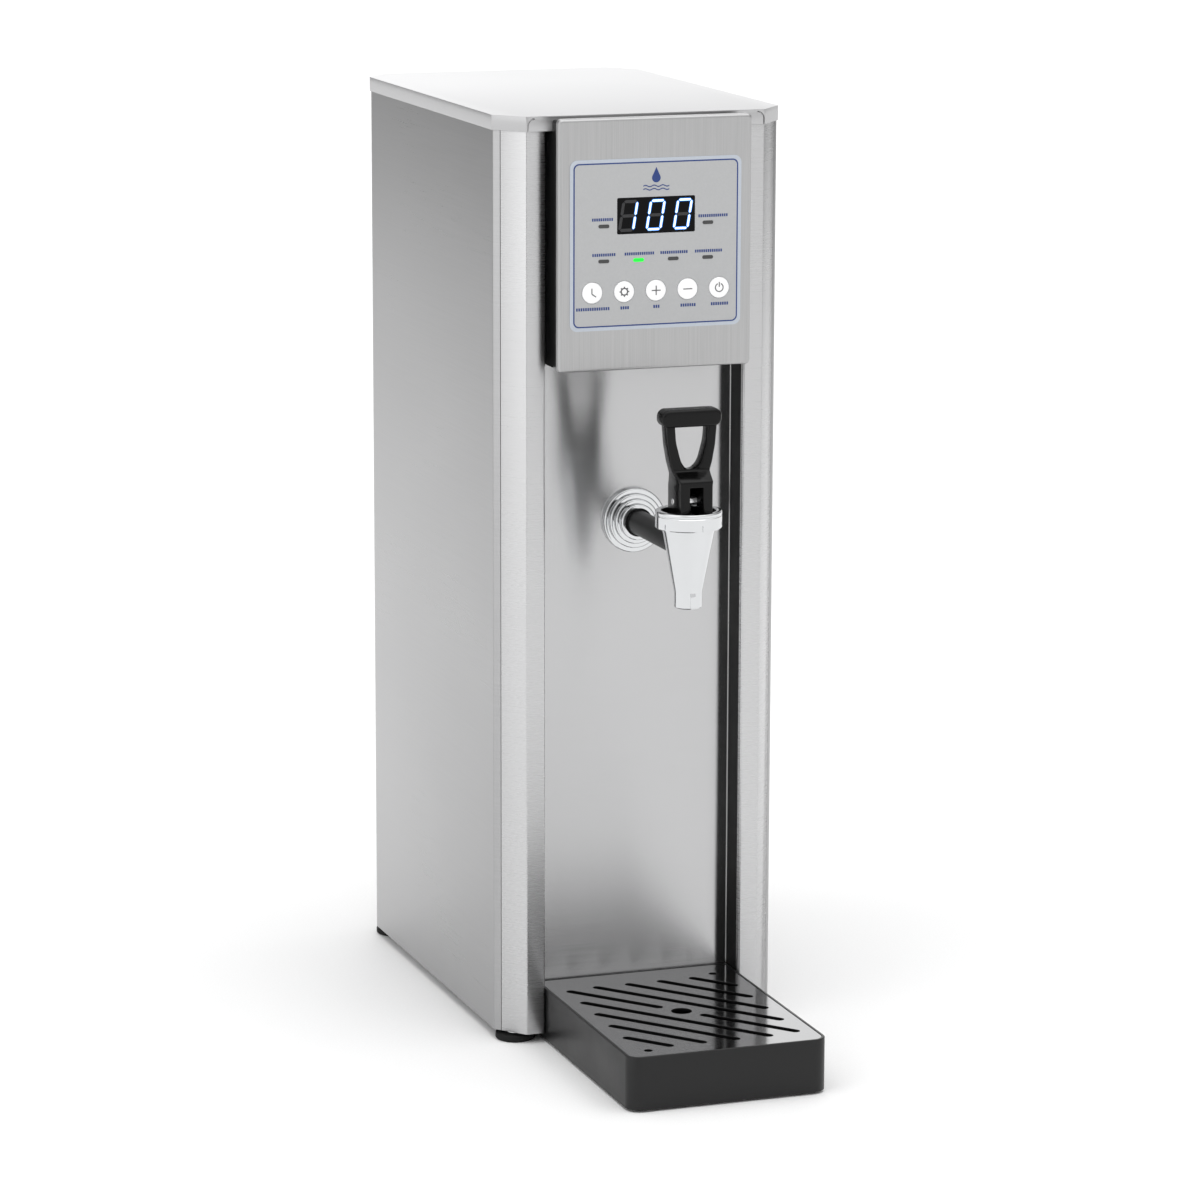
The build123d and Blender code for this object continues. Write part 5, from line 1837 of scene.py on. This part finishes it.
@dataclass
class Studio:
    """Pale floor, soft light and the camera."""

    camera_place: Point = (-1.05335, -2.97507, 0.93408)
    azimuth: float = 19.473
    tilt: float = 11.656
    roll: float = 0.165
    lens: float = 141.78
    floor_size: float = 60.0
    sky: float = 0.73
    sun_strength: float = 0.65
    sun_angle: float = 60.0
    lobes: tuple[tuple[Point, float, float], ...] = (
        ((-1.0, -0.15, 0.1), 0.9, 0.6), ((0.25, -1.0, 0.15), 0.15, 0.5), ((0.0, 0.0, 1.0), 0.6, 0.35),
        ((-0.7, 0.7, 0.1), -0.6, 0.55), ((0.85, 0.5, 0.1), -0.45, 0.6), ((0.33, 0.93, 0.2), 1.2, 0.88),
        ((-0.55, -0.83, 0.25), -0.65, 0.93))

    def build(self) -> None:
        """Set up the floor, the light and the camera."""
        self.floor()
        self.world()
        self.lights()
        self.camera()
        bpy.context.scene.view_settings.view_transform = "Standard"

    def floor(self) -> None:
        """Large pale floor."""
        deselect()
        bpy.ops.mesh.primitive_plane_add(size=self.floor_size, location=(0, 0, 0))
        floor = bpy.context.active_object
        floor.name = "floor"
        paint(floor, Printed("floor_paint", (0.92, 0.92, 0.92), roughness=0.9))

    def world(self) -> None:
        """Even pale surroundings with broad brighter and darker zones."""
        world = bpy.data.worlds.new("studio")
        bpy.context.scene.world = world
        world.use_nodes = True
        tree = world.node_tree
        tree.nodes.clear()
        output = tree.nodes.new("ShaderNodeOutputWorld")
        background = tree.nodes.new("ShaderNodeBackground")
        background.inputs["Color"].default_value = (1, 1, 1, 1)
        direction = tree.nodes.new("ShaderNodeTexCoord")
        total = None
        for aim, gain, edge in self.lobes:
            unit = Vector(aim).normalized()
            dot = tree.nodes.new("ShaderNodeVectorMath")
            dot.operation = "DOT_PRODUCT"
            dot.inputs[1].default_value = unit
            tree.links.new(direction.outputs["Generated"], dot.inputs[0])
            ramp = tree.nodes.new("ShaderNodeMapRange")
            ramp.interpolation_type = "SMOOTHSTEP"
            ramp.inputs["From Min"].default_value = edge
            ramp.inputs["From Max"].default_value = 1.0
            ramp.inputs["To Min"].default_value = 0.0
            ramp.inputs["To Max"].default_value = gain
            tree.links.new(dot.outputs["Value"], ramp.inputs["Value"])
            adder = tree.nodes.new("ShaderNodeMath")
            adder.operation = "ADD"
            adder.inputs[0].default_value = self.sky
            if total is not None:
                tree.links.new(total, adder.inputs[0])
            tree.links.new(ramp.outputs["Result"], adder.inputs[1])
            total = adder.outputs["Value"]
        tree.links.new(total, background.inputs["Strength"])
        tree.links.new(background.outputs["Background"], output.inputs["Surface"])

    def lights(self) -> None:
        """Broad overhead light."""
        sun = bpy.data.lights.new("overhead", "SUN")
        sun.energy = self.sun_strength
        sun.angle = math.radians(self.sun_angle)
        lamp = bpy.data.objects.new("overhead", sun)
        lamp.rotation_euler = (math.radians(10), math.radians(4), 0)
        bpy.context.collection.objects.link(lamp)

    def camera(self) -> None:
        """Long lens, level with the tap and a little to the left."""
        data = bpy.data.cameras.new("camera")
        data.lens = self.lens
        data.sensor_width = 36.0
        data.clip_end = 200.0
        camera = bpy.data.objects.new("camera", data)
        camera.location = self.camera_place
        yaw = math.radians(-self.azimuth)
        pitch = math.radians(90 - self.tilt)
        turn = Matrix.Rotation(yaw, 4, "Z") @ Matrix.Rotation(pitch, 4, "X") @ Matrix.Rotation(
            math.radians(self.roll), 4, "Z")
        camera.rotation_euler = turn.to_euler()
        bpy.context.collection.objects.link(camera)
        bpy.context.scene.camera = camera


def main() -> None:
    """Build every sub-assembly in order."""
    logging.basicConfig(level=logging.INFO, format="%(name)s %(message)s")
    for assembly in (Studio(), Casing(), ControlHead(), Tap(), DripTray(), Fittings()):
        LOG.info("building %s", type(assembly).__name__)
        assembly.build()


if __name__ == "__main__":
    main()
